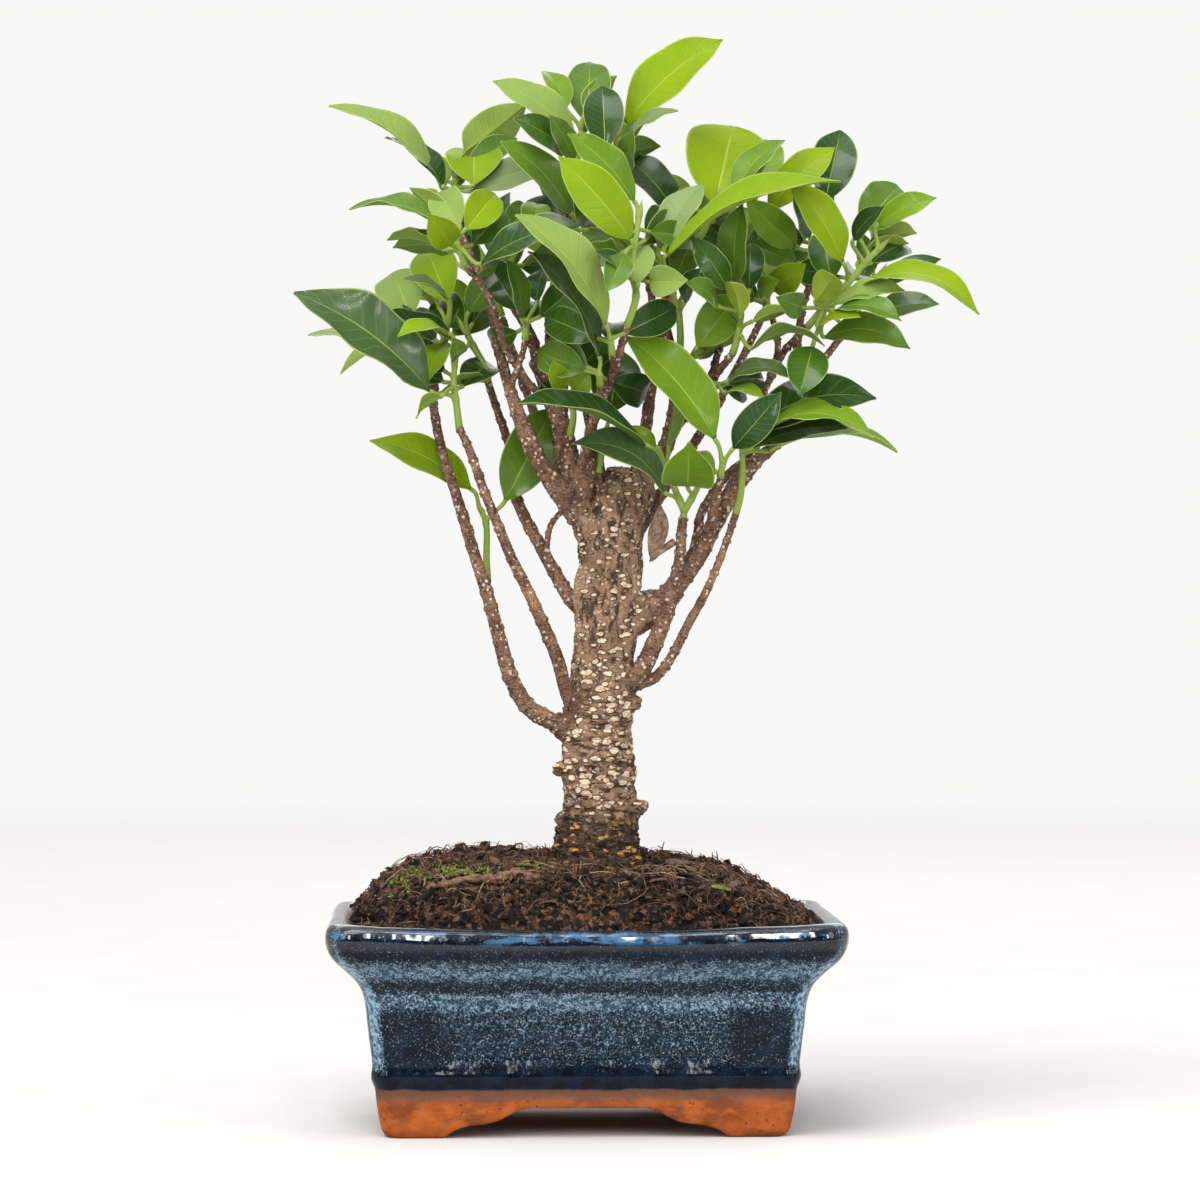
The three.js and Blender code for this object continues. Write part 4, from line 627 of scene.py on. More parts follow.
def applied(mesh: bpy.types.Mesh, kind: str, **settings: object) -> bpy.types.Mesh:
    """Returns a copy of the mesh with one modifier of that kind and those settings applied."""
    carrier = put("carrier", mesh)
    modifier = carrier.modifiers.new(kind, kind)
    for key, value in settings.items():
        setattr(modifier, key, value)
    shown = carrier.evaluated_get(bpy.context.evaluated_depsgraph_get())
    result = bpy.data.meshes.new_from_object(shown)
    bpy.data.objects.remove(carrier)
    return result


def fused(mesh: bpy.types.Mesh, voxel: float) -> bpy.types.Mesh:
    """Returns one closed skin round all of the mesh, with faces about voxel mm wide."""
    return applied(mesh, "REMESH", mode="VOXEL", voxel_size=voxel * MM, use_smooth_shade=True)


def relaxed(mesh: bpy.types.Mesh, weights: np.ndarray, rounds: int) -> None:
    """Smooths a mesh in place.

    Args:
        mesh: The mesh.
        weights: How far each point moves towards its neighbours' middle in a round.
        rounds: How many rounds there are.
    """
    edges = np.empty(len(mesh.edges) * 2, dtype=int)
    mesh.edges.foreach_get("vertices", edges)
    a, b = edges[::2], edges[1::2]
    count = len(mesh.vertices)
    places = points_of(mesh)
    degree = np.bincount(edges, minlength=count).clip(1)[:, None]
    for _ in range(rounds):
        total = np.zeros_like(places)
        np.add.at(total, a, places[b])
        np.add.at(total, b, places[a])
        places += weights[:, None] * (total / degree - places)
    move_points(mesh, places)


def points_of(mesh: bpy.types.Mesh) -> np.ndarray:
    """Returns the mesh's points, one a row, in metres."""
    places = np.empty(len(mesh.vertices) * 3)
    mesh.vertices.foreach_get("co", places)
    return places.reshape(-1, 3)


def normals_of(mesh: bpy.types.Mesh) -> np.ndarray:
    """Returns the normals at the mesh's points, one a row."""
    ways = np.empty(len(mesh.vertices) * 3)
    mesh.vertex_normals.foreach_get("vector", ways)
    return ways.reshape(-1, 3)


def in_pot_frame(mesh: bpy.types.Mesh) -> np.ndarray:
    """Returns the mesh's points in mm in the pot's frame."""
    return points_of(mesh) / MM - np.array(ORIGIN)


def move_points(mesh: bpy.types.Mesh, places: np.ndarray) -> None:
    """Moves the mesh's points to these places, in metres."""
    mesh.vertices.foreach_set("co", places.ravel())
    mesh.update()


def write_mark(mesh: bpy.types.Mesh, name: str, values: np.ndarray) -> None:
    """Writes three numbers a point under a name that a material reads."""
    layer = mesh.attributes.new(name, "FLOAT_VECTOR", "POINT")
    layer.data.foreach_set("vector", values.ravel())


def ball(subdivisions: int, radius: float = 1.0) -> tuple[np.ndarray, list[Face]]:
    """Returns the points and faces of a ball."""
    work = bmesh.new()
    bmesh.ops.create_icosphere(work, subdivisions=subdivisions, radius=radius)
    points = np.array([tuple(v.co) for v in work.verts])
    faces = [tuple(v.index for v in face.verts) for face in work.faces]
    work.free()
    return points, faces


def draws(dice: random.Random, *ranges: Pair) -> list[float]:
    """Draws one even number from each range, in order."""
    return [dice.uniform(low, high) for low, high in ranges]


def smoothstep(low: float, high: float, value: np.ndarray | float) -> np.ndarray | float:
    """Returns 0 below low, 1 above high and an even rise between."""
    t = np.clip((value - low) / (high - low), 0.0, 1.0)
    return t * t * (3 - 2 * t)


# ------------------------------------------------------------------ shaders
class Link:
    """A value, colour or vector in a material, which takes part in expressions."""

    def __init__(self, shader: "Shader", socket: bpy.types.NodeSocket) -> None:
        """Keeps the socket and the material it belongs to."""
        self.shader, self.socket = shader, socket

    def _math(self, operation: str, *inputs: "Link | float") -> "Link":
        """Returns the result of one Math node."""
        return self.shader.add("ShaderNodeMath", {"operation": operation}, dict(enumerate(inputs)))

    def __add__(self, other: "Link | float") -> "Link":
        """self + other."""
        return self._math("ADD", self, other)

    def __sub__(self, other: "Link | float") -> "Link":
        """self - other."""
        return self._math("SUBTRACT", self, other)

    def __rsub__(self, other: float) -> "Link":
        """other - self."""
        return self._math("SUBTRACT", other, self)

    def __mul__(self, other: "Link | float") -> "Link":
        """self * other."""
        return self._math("MULTIPLY", self, other)

    def __truediv__(self, other: "Link | float") -> "Link":
        """self / other."""
        return self._math("DIVIDE", self, other)

    __radd__ = __add__
    __rmul__ = __mul__

    def __abs__(self) -> "Link":
        """The size of self."""
        return self._math("ABSOLUTE", self)

    def sine(self) -> "Link":
        """The sine of self."""
        return self._math("SINE", self)

    def most(self, other: "Link | float") -> "Link":
        """The larger of self and other."""
        return self._math("MAXIMUM", self, other)

    def ramp(self, low: float, high: float) -> "Link":
        """A smooth change from 0 at low to 1 at high."""
        return self.shader.add(
            "ShaderNodeMapRange",
            {"interpolation_type": "SMOOTHSTEP"},
            {"Value": self, "From Min": low, "From Max": high},
        )

    def parts(self) -> tuple["Link", "Link", "Link"]:
        """The three numbers of a vector."""
        node = self.shader.node("ShaderNodeSeparateXYZ", {}, {"Vector": self})
        return tuple(Link(self.shader, node.outputs[i]) for i in range(3))

    def times(self, scale: Point) -> "Link":
        """The vector with each of its numbers scaled."""
        return self.shader.add("ShaderNodeVectorMath", {"operation": "MULTIPLY"}, {0: self, 1: scale})

    def plus(self, other: "Link") -> "Link":
        """The sum of two vectors."""
        return self.shader.add("ShaderNodeVectorMath", {"operation": "ADD"}, {0: self, 1: other})


Value = Link | float
Colour = Link | Point


class Shader:
    """A material being made around one Principled shader."""

    thin_share = 0.22

    def __init__(self, name: str) -> None:
        """Starts an empty material of that name."""
        self.material = bpy.data.materials.new(name)
        self.material.use_nodes = True
        self.tree = self.material.node_tree
        self.tree.nodes.clear()
        self.out = self.tree.nodes.new("ShaderNodeOutputMaterial")

    def node(
        self, kind: str, settings: dict[str, object], inputs: dict[str | int, object]
    ) -> bpy.types.Node:
        """Adds a node.

        Args:
            kind: Its type.
            settings: What is set on it first; "stops" gives a ramp's (place, colour) pairs.
            inputs: The numbers, colours or links of its sockets.
        Returns:
            The new node.
        """
        made = self.tree.nodes.new(kind)
        for key, value in settings.items():
            if key == "stops":
                self._stops(made.color_ramp, value)
            else:
                setattr(made, key, value)
        for key, value in inputs.items():
            if isinstance(value, Link):
                self.tree.links.new(value.socket, made.inputs[key])
            elif isinstance(value, tuple) and len(value) == 3 and made.inputs[key].type == "RGBA":
                made.inputs[key].default_value = (*value, 1.0)
            else:
                made.inputs[key].default_value = value
        return made

    @staticmethod
    def _stops(band: bpy.types.ColorRamp, stops: Sequence[tuple[float, Point]]) -> None:
        """Writes a ramp's stops."""
        while len(band.elements) < len(stops):
            band.elements.new(1.0)
        for element, (where, colour) in zip(band.elements, stops):
            element.position, element.color = where, (*colour, 1.0)

    def add(
        self, kind: str, settings: dict[str, object], inputs: dict[str | int, object], output: str | int = 0
    ) -> Link:
        """Adds a node as node() does and returns a link to one of its outputs."""
        return Link(self, self.node(kind, settings, inputs).outputs[output])

    def spot(self) -> Link:
        """The place on the object, in millimetres."""
        coordinate = self.add("ShaderNodeTexCoord", {}, {}, "Object")
        return coordinate.times((1000.0, 1000.0, 1000.0))

    def mark(self, name: str) -> Link:
        """The three numbers that the mesh holds under that name."""
        return self.add("ShaderNodeAttribute", {"attribute_name": name}, {}, "Vector")

    def grain(
        self, where: Link, size: float, detail: float = 3.0, rough: float = 0.55, warp: float = 0.0
    ) -> Link:
        """Soft noise from 0 to 1 whose lumps are about size mm wide."""
        inputs = {"Vector": where, "Scale": 1.0 / size, "Detail": detail, "Roughness": rough}
        return self.add("ShaderNodeTexNoise", {}, {**inputs, "Distortion": warp})

    def cells(self, where: Link, size: float, output: str = "Distance", loose: float = 1.0) -> Link:
        """Cells about size mm wide: the distance to their middle, or another output."""
        inputs = {"Vector": where, "Scale": 1.0 / size, "Randomness": loose}
        return self.add("ShaderNodeTexVoronoi", {}, inputs, output)

    def mix(self, share: Value, low: Colour, high: Colour) -> Link:
        """The colour low where share is 0 and high where it is 1."""
        return self.add("ShaderNodeMix", {"data_type": "RGBA"}, {0: share, 6: low, 7: high}, 2)

    def band(self, share: Link, *stops: tuple[float, Point]) -> Link:
        """A colour read from a row of stops."""
        return self.add("ShaderNodeValToRGB", {"stops": stops}, {0: share})

    def bump(self, height: Link, depth: float) -> Link:
        """The normal of a surface that rises by height times depth mm."""
        return self.add("ShaderNodeBump", {}, {"Height": height, "Strength": 1.0, "Distance": depth * MM})

    def finish(self, thin: Point | None = None, **sockets: object) -> bpy.types.Material:
        """Closes the material.

        Args:
            thin: The colour of the light that comes through, for a leaf.
            sockets: What the Principled shader's sockets get, with _ for a space.
        Returns:
            The finished material.
        """
        inputs = {key.replace("_", " "): value for key, value in sockets.items()}
        body = self.add("ShaderNodeBsdfPrincipled", {}, inputs)
        if thin:
            through = self.add("ShaderNodeBsdfTranslucent", {}, {"Color": thin})
            body = self.add("ShaderNodeMixShader", {}, {0: self.thin_share, 1: body, 2: through})
        self.tree.links.new(body.socket, self.out.inputs["Surface"])
        return self.material


# ------------------------------------------------------------------ finishes
@dataclass(frozen=True)
class Glaze:
    """Dark blue glaze, thick and speckled where it pooled, on red clay that is left bare at the feet."""

    black: Point = (0.002, 0.0035, 0.008)
    navy: Point = (0.004, 0.009, 0.021)
    blue: Point = (0.035, 0.09, 0.165)
    frost: Point = (0.31, 0.46, 0.58)
    pool: Point = (0.1, 0.27, 0.5)
    pit: Point = (0.01, 0.01, 0.014)
    rim: Point = (0.07, 0.08, 0.1)
    crust: Point = (0.62, 0.55, 0.5)
    clay: Point = (0.32, 0.07, 0.012)
    bright_clay: Point = (0.4, 0.105, 0.022)
    iron: Point = (0.05, 0.025, 0.02)
    stain: Point = (0.13, 0.035, 0.012)
    scorched: Point = (0.1, 0.055, 0.04)
    pot_height: float = 66.0
    clay_line: Pair = (14.6, 15.6)
    lip_low: Pair = (59.8, 61.6)
    lip_high: Pair = (63.8, 65.0)
    rim_line: Pair = (64.6, 66.2)
    # (share of the pot's height, share of the glaze that is speckled there)
    bands: tuple[Pair, ...] = (
        (0.0, 0.1), (0.27, 0.04), (0.31, 0.2), (0.36, 0.4), (0.44, 0.44), (0.58, 0.48), (0.62, 0.7),
        (0.67, 0.66), (0.695, 0.4), (0.73, 0.44), (0.765, 0.72), (0.82, 0.62), (0.855, 0.32), (0.93, 0.24),
        (1.0, 0.3),
    )

    def material(self) -> bpy.types.Material:
        """Returns the pot's material; its bands follow the height over the surface that the pot stands on."""
        s = Shader("glaze_over_clay")
        spot = s.spot()
        z = spot.parts()[2]
        corner, inside, margin = s.mark("wall").parts()
        level = (z + 2.6 * s.grain(spot.times((1, 1, 0.3)), 22.0, 2.0) - 1.3) / self.pot_height
        amount = s.band(level, *((share, (amount,) * 3) for share, amount in self.bands))
        streak = s.grain(spot.times((1, 1, 0.22)), 5.0, 3.0, 0.6)
        amount = amount - 0.055 + 0.16 * (streak - 0.5) + 0.42 * corner - 0.13 * margin
        dots = (s.grain(spot, 0.62, 3.0, 0.75) + 0.46 * (amount - 0.5)).ramp(0.44, 0.66)
        pits = 1 - s.cells(spot, 9.0).ramp(0.05, 0.085)
        colour = self.coloured(s, spot, dots, pits)
        scale = s.grain(spot, 2.2, 4.0, 0.65)
        colour = s.mix((inside * scale.ramp(0.36, 0.6)) * 0.85, colour, self.crust)
        edge = z + 1.6 * s.grain(spot, 7.0, 3.0) - 0.8
        bare = 1 - edge.ramp(*self.clay_line)
        ripple = s.grain(spot, 2.6, 1.0)
        grit = s.grain(spot, 0.7, 3.0, 0.7)
        height = (1 - bare) * (0.5 * ripple - 0.6 * pits) + bare * grit * 1.4
        return s.finish(
            Base_Color=s.mix(bare, colour, self.earth(s, spot, edge)),
            Roughness=0.1 + 0.72 * bare.most(inside * 0.45) + 0.05 * dots,
            Specular_IOR_Level=0.2,
            IOR=1.45,
            Coat_Weight=z.ramp(57.5, 60.0) * (1 - inside) * 0.7,
            Coat_Roughness=0.05,
            Normal=s.bump(height, 0.16),
        )

    def coloured(self, s: Shader, spot: Link, dots: Link, pits: Link) -> Link:
        """Returns the glaze's colour.

        Args:
            s: The material being made.
            spot: The place on the pot.
            dots: Where it is speckled.
            pits: Where its pinholes are.
        """
        z = spot.parts()[2]
        deep = s.mix(s.grain(spot, 5.0, 3.0).ramp(0.4, 0.62), self.black, self.navy)
        light = s.mix(s.grain(spot, 1.6, 2.0).ramp(0.34, 0.62), self.blue, self.frost)
        colour = s.mix(dots * 0.85, deep, light)
        lip = z.ramp(*self.lip_low) * (1 - z.ramp(*self.lip_high))
        pool = s.grain(spot.times((0.42, 0.42, 1.2)), 6.5, 4.0, 0.65).ramp(0.51, 0.6)
        colour = s.mix(lip * pool * (0.35 + 0.65 * dots), colour, self.pool)
        colour = s.mix(pits * 0.9, colour, self.pit)
        return s.mix(z.ramp(*self.rim_line) * 0.5, colour, self.rim)

    def earth(self, s: Shader, spot: Link, edge: Link) -> Link:
        """Returns the bare clay's colour, scorched towards the glaze's wavy edge."""
        clay = s.mix(s.grain(spot, 5.0, 4.0).ramp(0.35, 0.65), self.clay, self.bright_clay)
        specks = 1 - s.cells(spot, 2.3).ramp(0.1, 0.22)
        clay = s.mix(specks * s.grain(spot, 16.0).ramp(0.4, 0.55) * 0.9, clay, self.iron)
        stain = s.grain(spot.times((0.6, 0.6, 1.3)), 9.0, 5.0, 0.65)
        clay = s.mix(stain.ramp(0.46, 0.62) * 0.75, clay, self.stain)
        return s.mix(edge.ramp(9.6, 14.2) * 0.9, clay, self.scorched)


@dataclass(frozen=True)
class BladeFinish:
    """A waxy leaf: deep or lime green above, with a pale rib and margin and a painted sheen and glare, and
    matte and pale below.
    """

    rib: Point = (0.44, 0.56, 0.11)
    margin: Point = (0.45, 0.56, 0.14)
    glow: Point = (0.4, 0.54, 0.004)
    # The next two are painted light: a blue glare and a pale sheen, as reflected off the wax.
    glare_blue: Point = (0.022, 0.062, 0.034)
    pale: Point = (0.34, 0.41, 0.2)
    vein: Point = (0.22, 0.38, 0.07)
    below_deep: Point = (0.12, 0.2, 0.05)
    below_lime: Point = (0.36, 0.47, 0.04)
    tip: Point = (0.28, 0.2, 0.08)
    veins: float = 11.0
    greens: tuple[tuple[float, Point], ...] = (
        (0.0, (0.011, 0.036, 0.006)), (0.15, (0.022, 0.068, 0.006)), (0.3, (0.05, 0.13, 0.005)),
        (0.45, (0.095, 0.195, 0.004)), (0.62, (0.16, 0.28, 0.002)), (0.8, (0.235, 0.345, 0.001)),
        (1.0, (0.33, 0.42, 0.001)),
    )

    def material(self) -> bpy.types.Material:
        """Returns the material, which reads each leaf's marks."""
        s = Shader("leaf_blade")
        spot = s.spot()
        along, across, rnd = s.mark("blade").parts()
        # pale and blue: how much painted sheen and painted blue glare a leaf gets.
        lime, pale, blue = s.mark("tint_and_glare").parts()
        side = s.mark("side").parts()[0]
        off = abs(across)
        soft = s.grain(spot, 9.0, 3.0)
        shade = lime + 0.22 * (soft - 0.5) + 0.1 * (rnd - 0.5) - 0.06 * off
        colour = s.band(shade, *self.greens)
        # Painted light: the blue glare and the pale sheen are washed into the green.
        colour = s.mix(blue * 0.4, colour, self.glare_blue)
        colour = s.mix(pale * 0.75, colour, self.pale)
        wobble = s.grain(spot, 5.0, 2.0)
        phase = (along - 0.15 * off) * self.veins + 0.5 * wobble + rnd * 3.0
        vein = (phase * 6.2832).sine().ramp(0.8, 1.0) * off.ramp(0.0, 0.12) * (1 - off.ramp(0.8, 0.95))
        net = 1 - s.cells(spot, 0.9).ramp(0.0, 0.5)
        colour = s.mix(vein * 0.16, colour, self.vein)
        below = 1 - side
        matte = s.mix(shade.ramp(0.0, 1.0), self.below_deep, self.below_lime)
        colour = s.mix(below * 0.85, colour, matte)
        rib = 1 - (off + along * 0.012).ramp(0.016, 0.05)
        colour = s.mix(rib * (0.5 + 0.35 * lime) * (1 - 0.3 * along), colour, self.rib)
        edge = off.ramp(0.93, 0.985)
        colour = s.mix(edge * 0.7, colour, self.margin)
        colour = s.mix(along.ramp(0.985, 1.0) * 0.6, colour, self.tip)
        height = 0.32 * vein * (1 - 2 * side) - 0.8 * rib * side + 0.14 * net
        return s.finish(
            thin=self.glow,
            Base_Color=colour,
            Roughness=0.27 + 0.3 * below + 0.12 * pale + 0.06 * soft,
            Specular_IOR_Level=0.1,
            IOR=1.46,
            Coat_Weight=side * (1 - pale) * (1 - lime.ramp(0.35, 0.75)) * (0.3 + 0.35 * rnd),
            Coat_Roughness=0.16,
            Normal=s.bump(height, 0.21),
        )


@dataclass(frozen=True)
class StemFinish:
    """Young green stems, petioles and buds."""

    green: Point = (0.3, 0.35, 0.07)
    lime: Point = (0.47, 0.53, 0.08)
    tan: Point = (0.34, 0.23, 0.12)
    ring: Point = (0.5, 0.6, 0.28)
    speck: Point = (0.6, 0.52, 0.35)

    def material(self) -> bpy.types.Material:
        """Returns the material: tan next to the wood, green further up, lime on petioles and buds."""
        s = Shader("young_stem")
        spot = s.spot()
        along, _, tag = s.mark("grow").parts()
        soft = s.grain(spot, 3.0, 3.0)
        stem = s.mix((along + 0.4 * (soft - 0.5)).ramp(0.0, 0.55), self.tan, self.green)
        young = tag.ramp(0.2, 0.8)
        colour = s.mix(young, stem, self.lime)
        rings = s.grain(spot.times((1, 1, 0.35)), 1.1, 3.0)
        colour = s.mix(rings.ramp(0.45, 0.75) * 0.35, colour, self.ring)
        specks = 1 - s.cells(spot, 1.5).ramp(0.12, 0.22)
        colour = s.mix(specks * (1 - young) * 0.6, colour, self.speck)
        relief = s.bump(rings + 0.6 * specks, 0.12)
        return s.finish(Base_Color=colour, Roughness=0.42 + 0.2 * soft, Specular_IOR_Level=0.3, Normal=relief)


@dataclass(frozen=True)
class Bark:
    """Grey-brown bark with cream lenticels on the trunk, purplish-brown with white dots on the branches."""

    brown: Point = (0.185, 0.112, 0.067)
    dark: Point = (0.03, 0.016, 0.01)
    twig: Point = (0.15, 0.078, 0.052)
    cream: Point = (0.82, 0.65, 0.47)
    tan: Point = (0.45, 0.24, 0.09)
    ash: Point = (0.29, 0.178, 0.108)
    rust: Point = (0.33, 0.175, 0.088)
    worn: Point = (0.55, 0.37, 0.24)
    grey_twig: Point = (0.25, 0.145, 0.09)
    white_dot: Point = (0.72, 0.58, 0.46)
    dull_cream: Point = (0.6, 0.42, 0.26)
    wet: Point = (0.008, 0.0045, 0.003)
    wet_high: Point = (0.075, 0.04, 0.022)
    bare_root: Point = (0.5, 0.27, 0.09)
    # hollow: the colour of the painted shade in the old cut's hollow.
    hollow: Point = (0.05, 0.034, 0.026)
    spot_size: float = 4.2
    dot_size: float = 1.9

    def material(self) -> bpy.types.Material:
        """Returns the material, which reads how thick and how hollow the wood is from its mark."""
        s = Shader("fig_bark")
        spot = s.spot()
        z = spot.parts()[2]
        radius, _, sunk = s.mark("wood").parts()
        stout = radius.ramp(3.0, 6.0)
        soft = s.grain(spot, 8.0, 4.0)
        fine = s.grain(spot.times((1, 1, 2.0)), 1.3, 4.0, 0.65)
        upright = s.grain(spot.times((1, 1, 0.35)), 2.4, 4.0, 0.6, 0.6).ramp(0.5, 0.64)
        level = s.grain(spot.times((0.45, 0.45, 1.5)), 2.2, 4.0, 0.6, 0.8).ramp(0.5, 0.62)
        low = 1 - z.ramp(126.0, 148.0)
        crease = upright * (1 - low) + level * low
        colour = s.mix(stout, self.on_twigs(s, spot, soft, fine), self.on_trunk(s, spot, soft, fine, crease))
        dots = s.cells(spot, self.dot_size)
        chosen = s.cells(spot, self.dot_size, "Color").parts()[1]
        small = (1 - (dots - 0.16 * chosen).ramp(0.12, 0.22)) * (1 - level * 0.6)
        colour = s.mix(small * (0.8 - 0.2 * stout), colour, self.white_dot)
        big, rim = self.lenticels(s, spot, stout)
        colour = s.mix(rim * 0.7, colour, self.dark)
        colour = s.mix(big * 0.9, colour, s.mix(fine.ramp(0.3, 0.6), self.dull_cream, self.cream))
        wet = 1 - (z + 22 * (soft - 0.5)).ramp(93.0, 101.0)
        colour = s.mix(wet * 0.88, colour, s.mix(fine.ramp(0.42, 0.62), self.wet, self.wet_high))
        worn = s.grain(spot.times((1, 1, 2.2)), 4.0, 3.0).ramp(0.57, 0.62) * wet * z.ramp(76.0, 79.0)
        colour = s.mix(worn * 0.85, colour, self.bare_root)
        # Painted shade: the hollow of the old cut is darkened.
        colour = s.mix(sunk * 0.7, colour, self.hollow)
        height = 0.9 * big + 0.5 * small + 0.9 * (1 - crease) + 0.5 * fine
        return s.finish(
            Base_Color=colour,
            Roughness=0.66 + 0.25 * fine - 0.1 * wet,
            Specular_IOR_Level=0.2,
            Normal=s.bump(height, 0.6),
        )

    def on_trunk(self, s: Shader, spot: Link, soft: Link, fine: Link, crease: Link) -> Link:
        """Returns the old bark's colour from the place, broad and fine noise and its creases, which are
        darkened as painted shade.
        """
        colour = s.mix(soft.ramp(0.38, 0.62), self.brown, self.ash)
        colour = s.mix(s.grain(spot, 4.5, 3.0).ramp(0.54, 0.68) * 0.45, colour, self.rust)
        colour = s.mix(fine.ramp(0.5, 0.75) * 0.4, colour, self.worn)
        colour = s.mix(s.grain(spot, 0.8, 4.0, 0.7).ramp(0.54, 0.66) * 0.5, colour, self.dark)
        # Painted shade: the creases are darkened almost to black.
        return s.mix(crease * 0.9, colour, self.dark)

    def on_twigs(self, s: Shader, spot: Link, soft: Link, fine: Link) -> Link:
        """Returns the young bark's colour from the place and broad and fine noise."""
        colour = s.mix(soft.ramp(0.4, 0.6), self.twig, self.grey_twig)
        colour = s.mix(fine.ramp(0.46, 0.62) * 0.75, colour, self.dark)
        patch = s.grain(spot.times((1, 1, 0.5)), 11.0, 2.0).ramp(0.62, 0.72)
        return s.mix(patch * 0.5, colour, self.tan)

    def lenticels(self, s: Shader, spot: Link, stout: Link) -> tuple[Link, Link]:
        """Returns where the big lenticels are, flat ovals crowded on the middle trunk, and their rims."""
        z = spot.parts()[2]
        drift = s.add("ShaderNodeTexNoise", {}, {"Vector": spot, "Scale": 0.4, "Detail": 2.0}, "Color")
        flat = spot.plus(drift.times((2.4, 2.4, 1.6))).times((1, 1, 1.9))
        spots = s.cells(flat, self.spot_size, loose=0.9)
        pick = s.cells(flat, self.spot_size, "Color", 0.9).parts()[0]
        crowd = z.ramp(88.0, 104.0) * (1 - 0.45 * z.ramp(135.0, 165.0))
        reach = (0.26 + 0.22 * pick) * (0.45 + 0.55 * crowd)
        there = stout * (pick + 0.8 * crowd).ramp(0.4, 0.5)
        big = (1 - ((spots - reach) * 12.0 + 0.5).ramp(0.0, 1.0)) * there
        rim = (1 - ((spots - reach - 0.1) * 12.0 + 0.5).ramp(0.0, 1.0)) * there
        return big, rim


@dataclass(frozen=True)
class Peat:
    """Dark, crumbly, slightly damp potting peat."""

    dark: Point = (0.004, 0.0025, 0.0018)
    brown: Point = (0.09, 0.048, 0.027)
    red: Point = (0.25, 0.125, 0.064)

    def material(self, name: str, light: float = 0.0) -> bpy.types.Material:
        """Returns the material, lighter for crumbs that have dried out."""
        s = Shader(name)
        spot = s.spot()
        lump = s.grain(spot, 3.4, 4.0, 0.7)
        colour = s.mix(lump.ramp(0.36, 0.66 - 0.12 * light), self.dark, self.brown)
        each = s.cells(spot, 1.6, "Color").parts()[0]
        colour = s.mix(each.ramp(0.32, 0.68), s.mix(0.88, colour, self.dark), colour)
        colour = s.mix((each * s.grain(spot, 0.9, 3.0)).ramp(0.37, 0.5) * 0.75, colour, self.red)
        grit = s.grain(spot, 0.8, 5.0, 0.75)
        rough = 0.72 + 0.25 * grit
        return s.finish(Base_Color=colour, Roughness=rough, Specular_IOR_Level=0.25, Normal=s.bump(grit, 1.3))


@dataclass(frozen=True)
class Fibre:
    """Dry roots, chips and dead leaves: one or two browns in streaks."""

    low: Point
    high: Point
    rough: float = 0.75

    def material(self, name: str, size: float = 1.5) -> bpy.types.Material:
        """Returns the material with streaks about size mm wide."""
        s = Shader(name)
        spot = s.spot()
        streak = s.grain(spot.times((0.5, 1, 1)), size, 4.0, 0.65)
        colour = s.mix(streak.ramp(0.34, 0.66), self.low, self.high)
        rough = self.rough + 0.2 * (streak - 0.5)
        return s.finish(Base_Color=colour, Roughness=rough, IOR=1.4, Normal=s.bump(streak, 0.3))


@dataclass(frozen=True)
class Net:
    """Black plastic net with the faint sheen of its moulding."""

    low: Point = (0.012, 0.012, 0.012)
    high: Point = (0.035, 0.034, 0.032)

    def material(self) -> bpy.types.Material:
        """Returns the material."""
        s = Shader("drain_net")
        spot = s.spot()
        soft = s.grain(spot, 2.0, 3.0)
        colour = s.mix(soft, self.low, self.high)
        return s.finish(Base_Color=colour, Roughness=0.4 + 0.25 * soft, Normal=s.bump(soft, 0.1))


